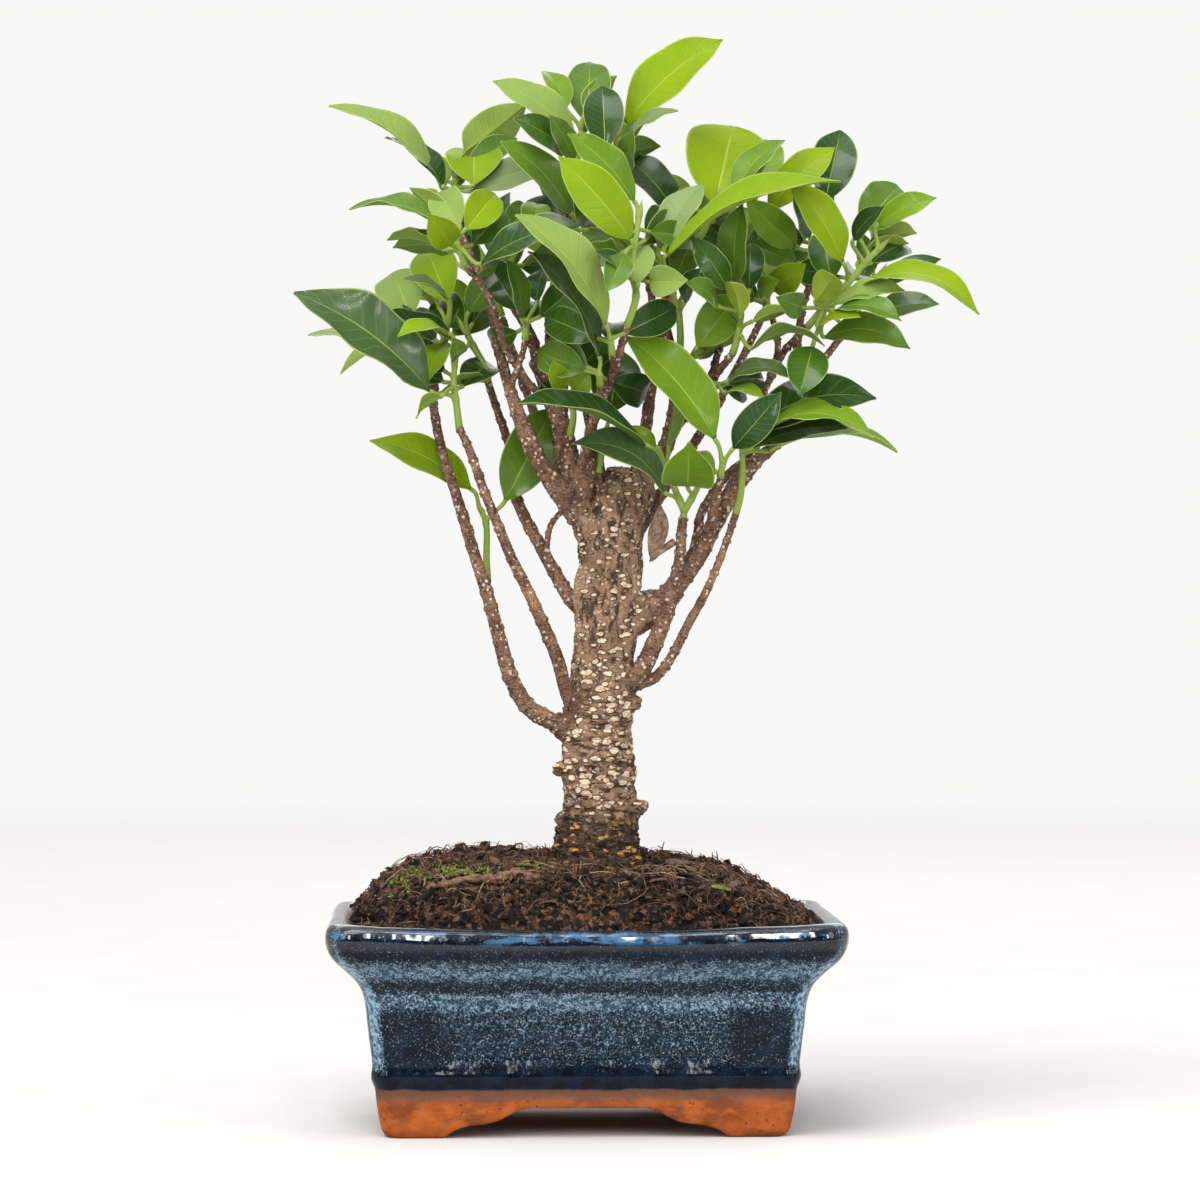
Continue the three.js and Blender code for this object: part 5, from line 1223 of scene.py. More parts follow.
# ------------------------------------------------------------------ pot
@dataclass
class Pot:
    """The rectangular pot with its rolled lip, sunk panels and bare feet, and the nets over its drains."""

    lip_x: float = 80.0
    lip_y: float = 56.0
    corner: float = 10.0
    foot_height: float = 9.2
    skirt: float = 8.5
    sag: float = 2.0
    panel_low: float = 23.4
    panel_high: float = 42.9
    panel_end: float = 23.5
    panel_depth: float = 1.1
    drain_x: float = 32.0
    drain_radius: float = 6.5
    voxel: float = 0.72
    smoothing: int = 5
    unevenness: float = 0.28
    drain_span: Pair = (4.0, 22.0)
    front_gap: Pair = (18.0, 43.0)
    side_gap: Pair = (8.0, 26.0)
    # (inset inside the lip's widest line, height) down the outer and the inner side of the wall
    outside: tuple[Pair, ...] = (
        (18.6, 0), (17.8, 1.2), (17, 2.4), (15.6, 10), (15.2, 14.6), (14.6, 16.2), (13.8, 18.8), (14.3, 21.4),
        (14.2, 24), (13, 33.7), (12, 42), (10.2, 47), (6.2, 51.5), (2.6, 55), (0.6, 58.6), (0.02, 62.2),
        (0.8, 65.3), (3, 66.8),
    )
    inside: tuple[Pair, ...] = (
        (5.4, 66.3), (7, 64.2), (8.2, 60), (13.5, 50), (16.5, 40), (20.5, 17), (22, 15.2),
    )
    # (share of a gap's run down a foot, height) along the cloud-shaped edge of a foot
    cloud: tuple[Pair, ...] = (
        (1, -2), (1, 0.3), (0.93, 1.9), (0.8, 3.3), (0.66, 4.0), (0.5, 4.4), (0.34, 5.6), (0.2, 7.6),
        (0.1, 8.7), (0, 9.2),
    )

    def ring(self, inset: float, z: float, fine: int = 10) -> list[Vector]:
        """Returns one ring of the wall, a rectangle with round corners.

        Args:
            inset: How far it lies inside the lip's widest line.
            z: Its height.
            fine: How many steps a corner takes.
        """
        half_x, half_y = self.lip_x - inset, self.lip_y - inset
        radius = self.corner - 0.25 * inset
        sagging = float(smoothstep(52, 62, z))
        ring: list[Vector] = []
        for sign_x, sign_y, start in ((1, -1, -90), (1, 1, 0), (-1, 1, 90), (-1, -1, 180)):
            for i in range(fine + 1):
                turn = math.radians(start + 90 * i / fine)
                x = sign_x * (half_x - radius) + radius * math.cos(turn)
                ring.append(Vector((x, sign_y * (half_y - radius) + radius * math.sin(turn), z)))
            steps = 4 * fine
            for i in range(1, steps):
                share = 1 - 2 * i / steps
                if sign_x == sign_y:
                    ring.append(Vector((sign_x * (half_x - radius) * share, sign_y * half_y, z)))
                else:
                    ring.append(Vector((sign_x * half_x, sign_y * (half_y - radius) * share, z)))
        for point in ring:
            if abs(point.y) > half_y - radius:
                point.z -= self.sag * sagging * (1 - (point.x / half_x) ** 2)
        return ring

    def shell(self) -> bpy.types.Mesh:
        """Returns the wall with its panels, still closed underneath."""
        profile = [Vector((inset, z, 0)) for inset, z in (*self.outside, *self.inside)]
        rings = [self.ring(p.x, p.y) for p in spline(profile, 4)]
        for ring in rings:
            for p in ring:
                self.sink(p)
        return Skin().loft(rings).mesh("pot_shell")

    def sink(self, p: Vector) -> None:
        """Presses a point of the outer wall inwards where it lies on a panel."""
        if not 16 < p.z < 50:
            return
        soft = 0.8
        up = smoothstep(self.panel_low - soft, self.panel_low + soft, p.z)
        up *= 1 - smoothstep(self.panel_high - soft, self.panel_high + soft, p.z)
        wall = 14.4 - (p.z - 22) * 0.12
        front, side = self.lip_x - 12 - self.panel_end, self.lip_y - 6 - self.panel_end
        for half, reach, axis, across in ((front, self.lip_y, 1, 0), (side, self.lip_x, 0, 1)):
            if abs(p[axis]) > reach - wall - 2.5:
                within = 1 - smoothstep(half - soft, half + soft, abs(p[across]))
                p[axis] -= math.copysign(self.panel_depth * up * within, p[axis])

    def foot_gap(self, top_half: float, foot_half: float, turned: bool) -> bpy.types.Mesh:
        """Returns the tool that cuts the gap between two feet.

        Args:
            top_half: Half the gap's width at its top.
            foot_half: Half its width between the feet's soles.
            turned: Whether it runs from side to side instead of from front to back.
        """
        run, reach = foot_half - top_half, 90.0
        curve = spline([Vector((top_half + run * share, 0, z)) for share, z in self.cloud], 3)
        outline = [Vector((-p.x, 0, p.z)) for p in curve] + [p.copy() for p in reversed(curve)]
        rings = [[(-y, p.x, p.z) if turned else (p.x, y, p.z) for p in outline] for y in (reach, -reach)]
        return Skin().loft(rings).mesh("foot_gap")

    def cutters(self) -> list[bpy.types.Mesh]:
        """Returns the tools that are taken out of the shell, all closed."""
        rings = [self.ring(17 + self.skirt, -2), self.ring(16 + self.skirt, self.foot_height)]
        tools = [
            Skin().loft(rings).mesh("underside"),
            self.foot_gap(*self.front_gap, turned=False),
            self.foot_gap(*self.side_gap, turned=True),
        ]
        for x in (-self.drain_x, self.drain_x):
            drain = Skin()
            drain.tube([Vector((x, 0, z)) for z in self.drain_span], [self.drain_radius] * 2, 40)
            tools.append(drain.mesh("drain"))
        return tools

    def build(self) -> bpy.types.Object:
        """Cuts the shell, rounds every edge as a glaze does, marks it and puts it in the scene.

        Returns:
            The pot.
        """
        body = self.shell()
        for tool in self.cutters():
            self.outward(tool)
            carrier = put("tool", tool)
            self.outward(body)
            body = applied(body, "BOOLEAN", operation="DIFFERENCE", object=carrier, solver="EXACT")
            bpy.data.objects.remove(carrier)
        body = fused(body, self.voxel)
        relaxed(body, np.full(len(body.vertices), 0.5), self.smoothing)
        local, places = in_pot_frame(body), points_of(body)
        spots = [Vector(p) for p in local]
        swell = np.array([noise.noise(p * 0.045) + 0.35 * noise.noise(p * 0.16) for p in spots])
        places += normals_of(body) * (swell * self.unevenness * MM * smoothstep(10, 20, local[:, 2]))[:, None]
        body.vertices.foreach_set("co", places.ravel())
        write_mark(body, "wall", self.wall_marks(local))
        body.name = "glazed_pot"
        return place("glazed_pot", body, [Glaze().material()], "glazed_pot", "pot")

    def wall_marks(self, local: np.ndarray) -> np.ndarray:
        """Returns how near each point is to an upright corner, the crust inside and a panel's margin."""
        x, y, z = np.abs(local[:, 0]), np.abs(local[:, 1]), local[:, 2]
        inset = np.interp(z, [p[1] for p in self.outside], [p[0] for p in self.outside])
        gap_x, gap_y = self.lip_x - inset - x, self.lip_y - inset - y
        gap = np.hypot(np.maximum(0, gap_x - 1.2), np.maximum(0, gap_y - 1.2))
        corner = (1 - smoothstep(1.2, 4.0, gap)) * smoothstep(16, 24, z)
        crusty = 1 - smoothstep(-40, 30, local[:, 0] - local[:, 1])
        within = smoothstep(3.5, 6.0, np.minimum(self.lip_x - x, self.lip_y - y))
        inner = within * smoothstep(60, 64, z) * (0.25 + 0.75 * crusty)
        aside = np.where(gap_x > gap_y, smoothstep(39, 50, x), smoothstep(21, 32, y))
        margin = aside * smoothstep(20, 28, z) * (1 - smoothstep(36, 50, z)) * (1 - corner)
        return np.stack([corner, inner, margin], 1)

    @staticmethod
    def outward(mesh: bpy.types.Mesh) -> None:
        """Turns every face of a closed mesh outward."""
        work = bmesh.new()
        work.from_mesh(mesh)
        bmesh.ops.recalc_face_normals(work, faces=work.faces)
        work.to_mesh(mesh)
        work.free()

    def dress_nets(self) -> None:
        """Gives the two nets over the drain holes their finish."""
        finish = Net().material()
        for name in ("drain_screen_left", "drain_screen_right"):
            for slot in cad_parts[name].material_slots:
                slot.material = finish
            log.info("%s: dressed", name)


# ------------------------------------------------------------------ trunk and branches
@dataclass
class Tree:
    """The trunk with its burls and sawn head, and the woody branches grown from it."""

    voxel: float = 0.42
    sides: int = 64
    branch_sides: int = 12
    swelling: float = 1.06
    core_radius: float = 10.0
    old_cut: Point = (18, 189, 10)
    burl_shape: Point = (1, 1, 0.85)

    def trunk_skin(self, skin: Skin) -> None:
        """Adds the trunk's body, lumpy as old fig wood is."""
        course = spline([Vector((x, radius, z)) for x, z, radius in TRUNK], 8)
        rings = []
        for at in course:
            ring, z = [], at.z
            for j in range(self.sides):
                turn = 2 * math.pi * j / self.sides
                lumps = 0.05 * math.sin(3 * turn + z * 0.13) + 0.04 * math.sin(5 * turn - z * 0.31)
                flutes = 0.03 * math.sin(8 * turn + 2.0 * math.sin(z * 0.05))
                r = at.y * (1 + lumps * smoothstep(84, 94, z) + flutes * smoothstep(110, 150, z))
                ring.append((at.x + TREE_X + r * math.cos(turn), r * math.sin(turn), z))
            rings.append(ring)
        skin.loft(rings)

    def build(self) -> bpy.types.Object:
        """Fuses trunk, burls and branches, smooths the joins and works the bark into the surface.

        Returns:
            The tree.
        """
        skin = Skin()
        self.trunk_skin(skin)
        for x, z, t, radius in BURLS:
            points, faces = ball(3, radius)
            skin.add(points * self.burl_shape + np.array(seen((x, z, t))), faces)
        for course, radius in SINEWS:
            path = spline([seen(p) for p in course], 8)
            radii = [radius * (0.85 + 0.2 * math.sin(i * 0.8)) for i in range(len(path))]
            skin.tube(path, radii, self.branch_sides)
        core = spline([Vector((x, 0, z)) for x, z, _ in TRUNK], 6)
        guides: list[tuple[Vector, float, float]] = [
            (Vector((p.x + TREE_X, 0, p.z)), self.core_radius, p.z) for p in core
        ]
        for bough in BOUGHS.values():
            path = spline([seen(p) for p in bough.points], 8)
            last = len(path) - 1
            radii = [bough.end + (bough.start - bough.end) * (1 - i / last) ** 1.4 for i in range(last + 1)]
            skin.tube(path, [r * self.swelling for r in radii], self.branch_sides)
            run = 0.0
            for i, p in enumerate(path):
                run += (p - path[i - 1]).length if i else 0.0
                guides.append((p, radii[i], run))
        wood = fused(skin.mesh("wood"), self.voxel)
        marks = self.wood_marks(in_pot_frame(wood), guides)
        stout = smoothstep(3.0, 7.0, marks[:, 0])
        relaxed(wood, 0.3 + 0.3 * stout, 2)
        relaxed(wood, 0.55 * stout, 8)
        self.carve(wood, marks, stout)
        write_mark(wood, "wood", marks)
        return place("trunk_and_boughs", wood, [Bark().material()], "bark", "trunk_and_branches")

    @staticmethod
    def wood_marks(local: np.ndarray, guides: list[tuple[Vector, float, float]]) -> np.ndarray:
        """Finds what wood each point belongs to.

        Args:
            local: The points, in mm in the pot's frame.
            guides: Places inside the wood, each with the radius there and how far along its branch it is.
        Returns:
            For each point the wood's radius, how far along its branch it is, and 0 for how hollow it is.
        """
        tree = kdtree.KDTree(len(guides))
        for i, (p, _, _) in enumerate(guides):
            tree.insert(p, i)
        tree.balance()
        burl_radius, core = 6.0, 20.0
        marks = np.zeros_like(local)
        for i, p in enumerate(local):
            _, best, far = min(tree.find_n(p, 6), key=lambda hit: hit[2] - guides[hit[1]][1])
            radius, run = guides[best][1:]
            if p[0] ** 2 + p[1] ** 2 < core**2 and far > 5:
                radius = max(radius, burl_radius)
            marks[i] = (radius, run, 0.0)
        return marks

    def carve(self, wood: bpy.types.Mesh, marks: np.ndarray, stout: np.ndarray) -> None:
        """Raises the bark's ridges, burl whorls, twig rings and the hollow of the old cut.

        Args:
            wood: The smoothed wood, changed in place.
            marks: What wood_marks() gives; how hollow each point is gets written into it.
            stout: 1 on the trunk, 0 on the thin branches.
        """
        places, ways = points_of(wood), normals_of(wood)
        local = in_pot_frame(wood)
        rise = np.zeros(len(local))
        hollow = seen(self.old_cut)
        octaves = (0.9, 2.1, 3, 1.0, 2.0)
        for i, p in enumerate(local):
            spot = Vector(p)
            ridge = noise.ridged_multi_fractal(Vector((p[0] * 0.16, p[1] * 0.16, p[2] * 0.09)), *octaves)
            lumps = noise.noise(spot * 0.22)
            crumb = noise.noise(Vector((p[0] * 0.8, p[1] * 0.8, p[2] * 1.3)))
            fine = noise.noise(spot * 1.9)
            low = 1 - float(smoothstep(130, 150, p[2]))
            wrinkle = math.sin(p[2] * 1.7 + 4.0 * noise.noise(spot * 0.13))
            gnarl = noise.ridged_multi_fractal(spot * 0.3, *octaves) - 1.1
            soiled = 1 - float(smoothstep(92, 102, p[2] + 4 * lumps))
            old = 0.42 * (1 - low) * (ridge - 1.1) + low * (0.2 * wrinkle + 0.16 * gnarl) + 0.6 * lumps
            old += 0.42 * crumb + 0.2 * fine + 0.75 * soiled * gnarl
            rings = math.sin(marks[i, 1] * 1.15 + 2.4 * noise.noise(spot * 0.08))
            young = 0.34 * max(0.0, rings) ** 6 + 0.16 * crumb + 0.13 * fine
            dip = math.exp(-((spot - hollow).length / 3.4) ** 2)
            rise[i] = stout[i] * old + (1 - stout[i]) * young - 2.2 * dip
            marks[i, 2] = dip
        for x, z, t, radius in BURLS:
            middle = np.array(seen((x, z, t)))
            far = np.linalg.norm(local - middle, axis=1)
            whorl = np.sin(far * 2.6 + 1.5 * np.sin(local[:, 2] * 0.9)) * np.exp(-((far - radius) / 1.6) ** 2)
            rise += (0.38 if radius > 4 else 0.22) * whorl
        move_points(wood, places + ways * (rise * MM)[:, None])


# ------------------------------------------------------------------ leaves
@dataclass
class Foliage:
    """The leafy shoots: green stems with buds, petioles and folded, veined blades."""

    ratio: float = 0.44
    fuller: float = 1.1
    attach: float = 7.0
    fold: float = 0.3
    inner: int = 3
    rows: int = 24
    widest: float = 22.0
    long_leaf: float = 41.0
    inner_above: float = 228.0
    # shares of the half width at which a blade has points
    columns: tuple[float, ...] = (
        -1, -0.95, -0.82, -0.62, -0.42, -0.22, -0.07, 0, 0.07, 0.22, 0.42, 0.62, 0.82, 0.95, 1,
    )
    # (share of the length, share of the widest half width)
    outline: tuple[Pair, ...] = (
        (0, 0.05), (0.04, 0.22), (0.1, 0.47), (0.2, 0.76), (0.32, 0.93), (0.45, 1), (0.56, 0.985),
        (0.68, 0.89), (0.78, 0.72), (0.86, 0.5), (0.92, 0.28), (0.96, 0.13), (1, 0.02),
    )
    bud: tuple[float, ...] = (0.85, 1.0, 1.05, 0.98, 0.82, 0.62, 0.4, 0.2, 0.05)

    def half_width(self, share: float) -> float:
        """Returns the blade's half width at a share of its length, as a share of its widest."""
        near = np.linspace(share - 0.03, share + 0.03, 5)
        return float(np.mean(np.interp(near, [p[0] for p in self.outline], [p[1] for p in self.outline])))

    def pose(self, base: Vector, tip: Vector, shown: float) -> tuple[Vector, Vector, float, float]:
        """Works out how a leaf is turned from how wide it shows from the front.

        Args:
            base: Where the blade starts.
            tip: Where it ends.
            shown: How wide it shows, less than nought for its underside.
        Returns:
            Its direction, the way its upper face looks, its length and its width.
        """
        along = tip - base
        length = along.length
        along = along.normalized()
        to_eye = (EYE - base).normalized()
        to_eye = (to_eye - along * along.dot(to_eye)).normalized()
        aside = along.cross(to_eye)
        sign = (base.x > 0) - (base.x < 0)
        if aside.z + 0.002 * aside.x * sign < 0:
            aside.negate()
        width = max(abs(shown) * self.fuller, min(self.ratio * length, self.widest))
        turn = math.acos(shown * self.fuller / width)
        return along, to_eye * math.cos(turn) + aside * math.sin(turn), length, width

    @staticmethod
    def nearest(stems: Sequence[Sequence[Vector]], point: Vector) -> tuple[Vector, Vector]:
        """Returns the nearest place on the stems to a point, and the way the stem runs there."""
        best: tuple[Vector, Vector] | None = None
        for stem in stems:
            for a, b in zip(stem, stem[1:]):
                run = b - a
                share = min(1.0, max(0.0, (point - a).dot(run) / run.length_squared))
                found = a + run * share
                if best is None or (found - point).length < (best[0] - point).length:
                    best = (found, run.normalized())
        return best

    def leaf(
        self,
        skin: Skin,
        stems: Sequence[Sequence[Vector]],
        base: Vector,
        tip: Vector,
        shown: float,
        tone: Tone,
        arch: float,
        dice: random.Random,
    ) -> None:
        """Adds one leaf: a petiole that leaves the stem and runs on as the rib, and a thin closed blade.

        Args:
            skin: The mesh being gathered.
            stems: The stems that it may grow on.
            base: Where the blade starts.
            tip: Where it ends.
            shown: How wide it shows from the front.
            tone: Its colouring.
            arch: How far its middle rises over the line from base to tip.
            dice: Where its small differences come from.
        """
        along, face, length, width = self.pose(base, tip, shown)
        across = along.cross(face)
        start, stem_way = self.nearest(stems, base - along * self.attach)
        reach = (base - start).length
        first = start + (stem_way * 0.45 + along * 0.55) * reach * 0.35
        shares = [i / 9 for i in range(10)]
        radii = [0.95 - 0.3 * smoothstep(0, 0.5, share) + 0.1 * smoothstep(0.6, 1, share) for share in shares]
        skin.tube(bezier(start, first, base - along * reach * 0.4, base, 9), radii, 8, 1, "grow", 1.0)
        deep = self.fold * (0.85 + 0.5 * dice.random()) * (1.0 if length > self.long_leaf else 0.7)
        twist = 0.35 * (dice.random() - 0.5)
        wave, turns, phase = 0.012 + 0.014 * dice.random(), 1.3 + 1.2 * dice.random(), 6.3 * dice.random()
        rnd = dice.random()
        top, bottom, blade = [], [], []
        for i in range(self.rows + 1):
            t = i / self.rows
            share = 0.55 * (0.5 - 0.5 * math.cos(math.pi * t)) + 0.45 * t
            half = max(0.12, self.half_width(share) * width / 2)
            rise = 4 * arch * length * share * (1 - share) - 0.03 * length * share**3
            slope = 4 * arch * (1 - 2 * share) - 0.09 * share**2
            middle = base + along * (share * length) + face * rise
            normal = (face - along * slope).normalized()
            turned = Matrix.Rotation(twist * (share - 0.3), 3, along)
            side_way, up_way = turned @ across, turned @ normal
            swell = math.sin(math.pi * share) ** 0.5 if 0 < share < 1 else 0.0
            rib = 0.5 * (1 - 0.75 * share) * min(1.0, half)
            for u in self.columns:
                ripple = math.sin(turns * 2 * math.pi * share + phase + (1.7 if u > 0 else 0))
                lift = deep * half * (abs(u) ** 1.15) - 0.0875 * deep * half * swell
                lift += wave * length * swell * u * u * ripple
                point = middle + side_way * (u * half) + up_way * lift
                thick = 0.2 + 0.14 * (1 - abs(u)) + rib * math.exp(-((u / 0.07) ** 2))
                top.append(point)
                bottom.append(point - up_way * thick)
                blade.append((share, u, rnd))
        side = np.zeros((2 * len(top), 3))
        side[: len(top), 0] = 1.0
        points = np.array([tuple(p) for p in top + bottom])
        skin.add(points, self.blade_faces(), 0, blade=np.array(blade * 2), tint_and_glare=tone.value, side=side)

    def blade_faces(self) -> list[Face]:
        """Returns a blade's faces: its upper and lower side and the thin rim all round."""
        wide, count = len(self.columns), len(self.columns) * (self.rows + 1)
        faces: list[Face] = []
        for i in range(self.rows):
            for j in range(wide - 1):
                a, b = i * wide + j, (i + 1) * wide + j
                faces += [(a, a + 1, b + 1, b), (count + a, count + b, count + b + 1, count + a + 1)]
            for j, flip in ((0, False), (wide - 1, True)):
                a, b = i * wide + j, (i + 1) * wide + j
                rim = (a, b, count + b, count + a)
                faces.append(rim[::-1] if flip else rim)
        for j in range(wide - 1):
            a, b = j, self.rows * wide + j
            faces += [(a + 1, a, count + a, count + a + 1), (b, b + 1, count + b + 1, count + b)]
        return faces

    def stem(self, skin: Skin, path: list[Vector], knots: Sequence[Vector], bud: bool) -> None:
        """Adds one green stem.

        Args:
            skin: The mesh being gathered.
            path: The places along its middle.
            knots: Where leaves leave it and it is swollen.
            bud: Whether it ends in a pointed bud.
        """
        last = len(path) - 1
        radii = []
        for i, p in enumerate(path):
            swell = max((math.exp(-(((p - k).length / 0.9) ** 2)) for k in knots), default=0.0)
            radii.append(1.2 - 0.35 * i / last + 0.22 * swell)
        skin.tube(path, radii, 10, 1, "grow", 0.0)
        if bud:
            way = (path[-1] - path[-2]).normalized()
            tip = [path[-1] + way * (7.5 * i / 8) for i in range(len(self.bud))]
            skin.tube(tip, self.bud, 8, 1, "grow", 1.0)

    def spray(self, spray: Spray, seed: int, inner: int) -> Skin:
        """Returns one shoot's skin: its stems, its leaves and a few inner ones that point to the back."""
        dice = random.Random(seed)
        skin = Skin(("blade", "tint_and_glare", "side", "grow"))
        stems = [spline([seen(p) for p in stem], 6) for stem in spray.stems]
        stems[0][0] = stems[0][0] - (stems[0][1] - stems[0][0]).normalized() * 0.8
        reached = [stems[0][8:] if len(stems[0]) > 12 else stems[0][3:], *stems[1:]]
        knots = []
        for leaf in spray.leaves:
            base, tip = seen(leaf.base), seen(leaf.tip)
            knots.append(self.nearest(reached, base - (tip - base).normalized() * self.attach)[0])
            self.leaf(skin, reached, base, tip, leaf.shown, leaf.tone, leaf.arch, dice)
        for i in range(inner):
            stem = stems[-1 - i % len(stems)]
            out = Vector(draws(dice, (-0.7, 0.7), (0.3, 1), (-0.15, 0.7))).normalized()
            base = stem[int(len(stem) * dice.uniform(0.5, 0.9))] + out * 6
            tone = dice.choice((D, E, D, M))
            if base.z > self.inner_above:
                tip, shown = base + out * dice.uniform(19, 26), dice.choice((8, 10, -7))
                self.leaf(skin, stems, base, tip, shown, tone, 0.1, dice)
        for i, stem in enumerate(stems):
            self.stem(skin, stem, knots, i == len(stems) - 1 and len(spray.leaves) > 3)
        return skin

    def rear_spray(self, spray: RearSpray, seed: int) -> Skin:
        """Returns the skin of one of the shoots behind the trunk, leaves around one stem."""
        number = float(seed)

        def roll() -> float:
            """Returns the next number from -1 to 1."""
            nonlocal number
            number = math.fmod(number * ROLL_FACTOR + ROLL_STEP, ROLL_PERIOD)
            return number / ROLL_PERIOD * 2 - 1

        dice = random.Random(seed)
        skin = Skin(("blade", "tint_and_glare", "side", "grow"))
        start = seen(spray.start)
        up = Vector((spray.way[0], -spray.way[2], spray.way[1])).normalized()
        path = [start + up * (share * spray.long) for share in (0, 0.5, 1)]
        aside = up.cross(Vector((0, 1, 0))).normalized()
        stem = spline(path, 6)
        for i in range(spray.leaves):
            share = (i + 0.6) / spray.leaves
            out = Matrix.Rotation(2.4 * i + 0.35 * roll(), 3, up) @ aside
            spread = 1.15 - 0.65 * share + 0.12 * roll()
            along = up * math.cos(spread) + out * math.sin(spread)
            base = path[0].lerp(path[2], share) + along * 7
            length = spray.size * (1 - 0.2 * share) + 2 * roll()
            tone = (E, D, M, D, F, B, L)[(i + seed) % 7]
            self.leaf(skin, [stem], base, base + along * length, 0.3 * length, tone, 0.12, dice)
        self.stem(skin, stem, [], True)
        return skin

    def build(self) -> None:
        """Makes every shoot and the dried leaf, each in place of its solid."""
        finishes = [BladeFinish().material(), StemFinish().material()]
        skins = {}
        for i, (name, spray) in enumerate(SPRAYS.items()):
            skins[name] = self.spray(spray, 100 + i, self.inner)
        for i, (name, rear) in enumerate(REAR_SPRAYS.items()):
            skins[name] = self.rear_spray(rear, 11 + 7 * i)
        for name, skin in skins.items():
            place(f"leafy_{name}", skin.mesh(f"leafy_{name}"), finishes, "leaf", f"shoot_{name}")
        dry = Fibre((0.13, 0.075, 0.045), (0.33, 0.22, 0.15), 0.7).material("dried_leaf", 2.0)
        mesh = self.spray(DEAD_LEAF, 7, 0).mesh("dried_leaf")
        place("dried_leaf", mesh, [dry, dry], "dry_leaf", "dead_leaf")


# ------------------------------------------------------------------ soil
@dataclass
class Soil:
    """The heaped peat with its crumbs, fibres, moss and chips, and the thick root that lies on it."""

    pot: Pot
    edge_z: float = 64.0
    heap: float = 17.5
    crumbs: int = 7400
    fibres: int = 1000
    stubs: int = 60
    rings: int = 56
    trunk: Point = (3.3, 0.0, 12.5)
    root: tuple[Pair, ...] = ((-49, -37), (-42, -36.5), (-34, -36), (-27, -34), (-20, -33), (-14.5, -34.5))
    root_radii: tuple[float, ...] = (0.8, 1, 1.2, 1.6, 1.7, 1.1)
    # (x, y, spread, how many tufts and pads) of each patch of moss
    patches: tuple[tuple[float, float, float, int], ...] = (
        (-48, -20, 10, 380), (-38, -27, 6, 200), (-15, -16, 5, 160), (-58, -30, 4, 60),
    )
    # (x, y, length, width, heading) of the largest chips
    flakes: tuple[tuple[float, ...], ...] = (
        (32, 2, 13, 6, 0.3), (46, -22, 7, 4, 1.2), (-28, -8, 6, 3, 2.0), (22, -36, 6, 3, 0.4),
        (-60, 6, 6, 3, 1.0),
    )
    small_flakes: int = 46

    def height(self, x: float, y: float) -> float:
        """Returns how high the soil stands at a place, in mm."""
        reach = min(((abs(x) / 73) ** 4 + (abs(y) / 49) ** 4) ** 0.25, 1.0)
        falling = (0.006 if x > 0 else 0.003) * max(0.0, abs(x) - 25) ** 2
        risen = (self.heap - 0.03 * x + 0.07 * y - falling) * (1 - reach**9)
        clods = 0.7 * math.sin(x * 0.31 + 1.3) * math.cos(y * 0.37) + 0.5 * math.sin(x * 0.13 - y * 0.21)
        return self.edge_z + risen + clods * min(1.0, 3 * (1 - reach))

    def body(self) -> Skin:
        """Returns the soil's body: close to the pot's wall below, rough on top."""
        wall = [(inset + 0.5, z) for inset, z in reversed(self.pot.inside[2:])]
        rings = [self.pot.ring(inset, z, 8) for inset, z in wall]
        edge = self.pot.ring(self.pot.inside[1][0] + 1.2, self.edge_z - 1.2, 8)
        for i in range(self.rings):
            share = 1 - i / self.rings * 0.99
            ring = []
            for x, y in ((p.x * share, p.y * share) for p in edge):
                rough = 1.6 * noise.noise(Vector((x, y, 0)) * 0.16) + noise.noise(Vector((x, y, 5)) * 0.45)
                rough += 0.5 * noise.noise(Vector((x, y, 9)) * 1.1)
                z = self.height(x, y) + rough * min(1.0, 8 * (1 - share) + 0.15) - 0.4
                ring.append(Vector((x, y, z)))
            rings.append(ring)
        return Skin().loft(rings)

    @staticmethod
    def reach(x: float, y: float) -> float:
        """Returns how far out on the soil a place is: 1 along its edge."""
        return ((abs(x) / 71.5) ** 6 + (abs(y) / 47.5) ** 6) ** (1 / 6)

    def somewhere(self, dice: random.Random) -> Pair:
        """Returns a place on the soil, off the trunk."""
        trunk_x, trunk_y, clear = self.trunk
        while True:
            x, y = draws(dice, (-71, 71), (-47.5, 47.5))
            if self.reach(x, y) < 1.0 and math.hypot(x - trunk_x, y - trunk_y) > clear:
                return x, y

    def scatter(self) -> tuple[Skin, Skin]:
        """Returns the dark and the lighter crumbs, lumps of every size lying in the surface."""
        dice = random.Random(41)
        balls = (ball(1), ball(2))
        skins = (Skin(), Skin())
        for i in range(self.crumbs):
            x, y = self.somewhere(dice)
            if i % 3 == 0:
                outward = dice.uniform(0.84, 1.0) / self.reach(x, y)
                x, y = x * outward, y * outward
            size = 0.28 + 1.75 * dice.random() ** 4.2
            points, faces = balls[size > 0.7]
            shape = np.array(draws(dice, (0.7, 1.75), (0.5, 1.05), (0.4, 0.9))) * size
            offset = Vector(draws(dice, (0, 90), (0, 90), (0, 90)))
            broad = [0.75 * noise.noise(Vector(p) * 1.5 + offset) for p in points]
            fine = [0.4 * noise.noise(Vector(p) * 4 + offset) for p in points]
            dents = 1 + np.array(broad) + np.array(fine)
            angle = dice.uniform(0, 6.3)
            axis = Vector((*draws(dice, (-1, 1), (-1, 1)), 1)).normalized()
            turned = (points * dents[:, None] * shape) @ np.array(Matrix.Rotation(angle, 3, axis)).T
            z = self.height(x, y) + dice.uniform(-0.3, 0.55) * size
            skins[i % 5 == 0].add(turned + (x, y, z), faces)
        return skins

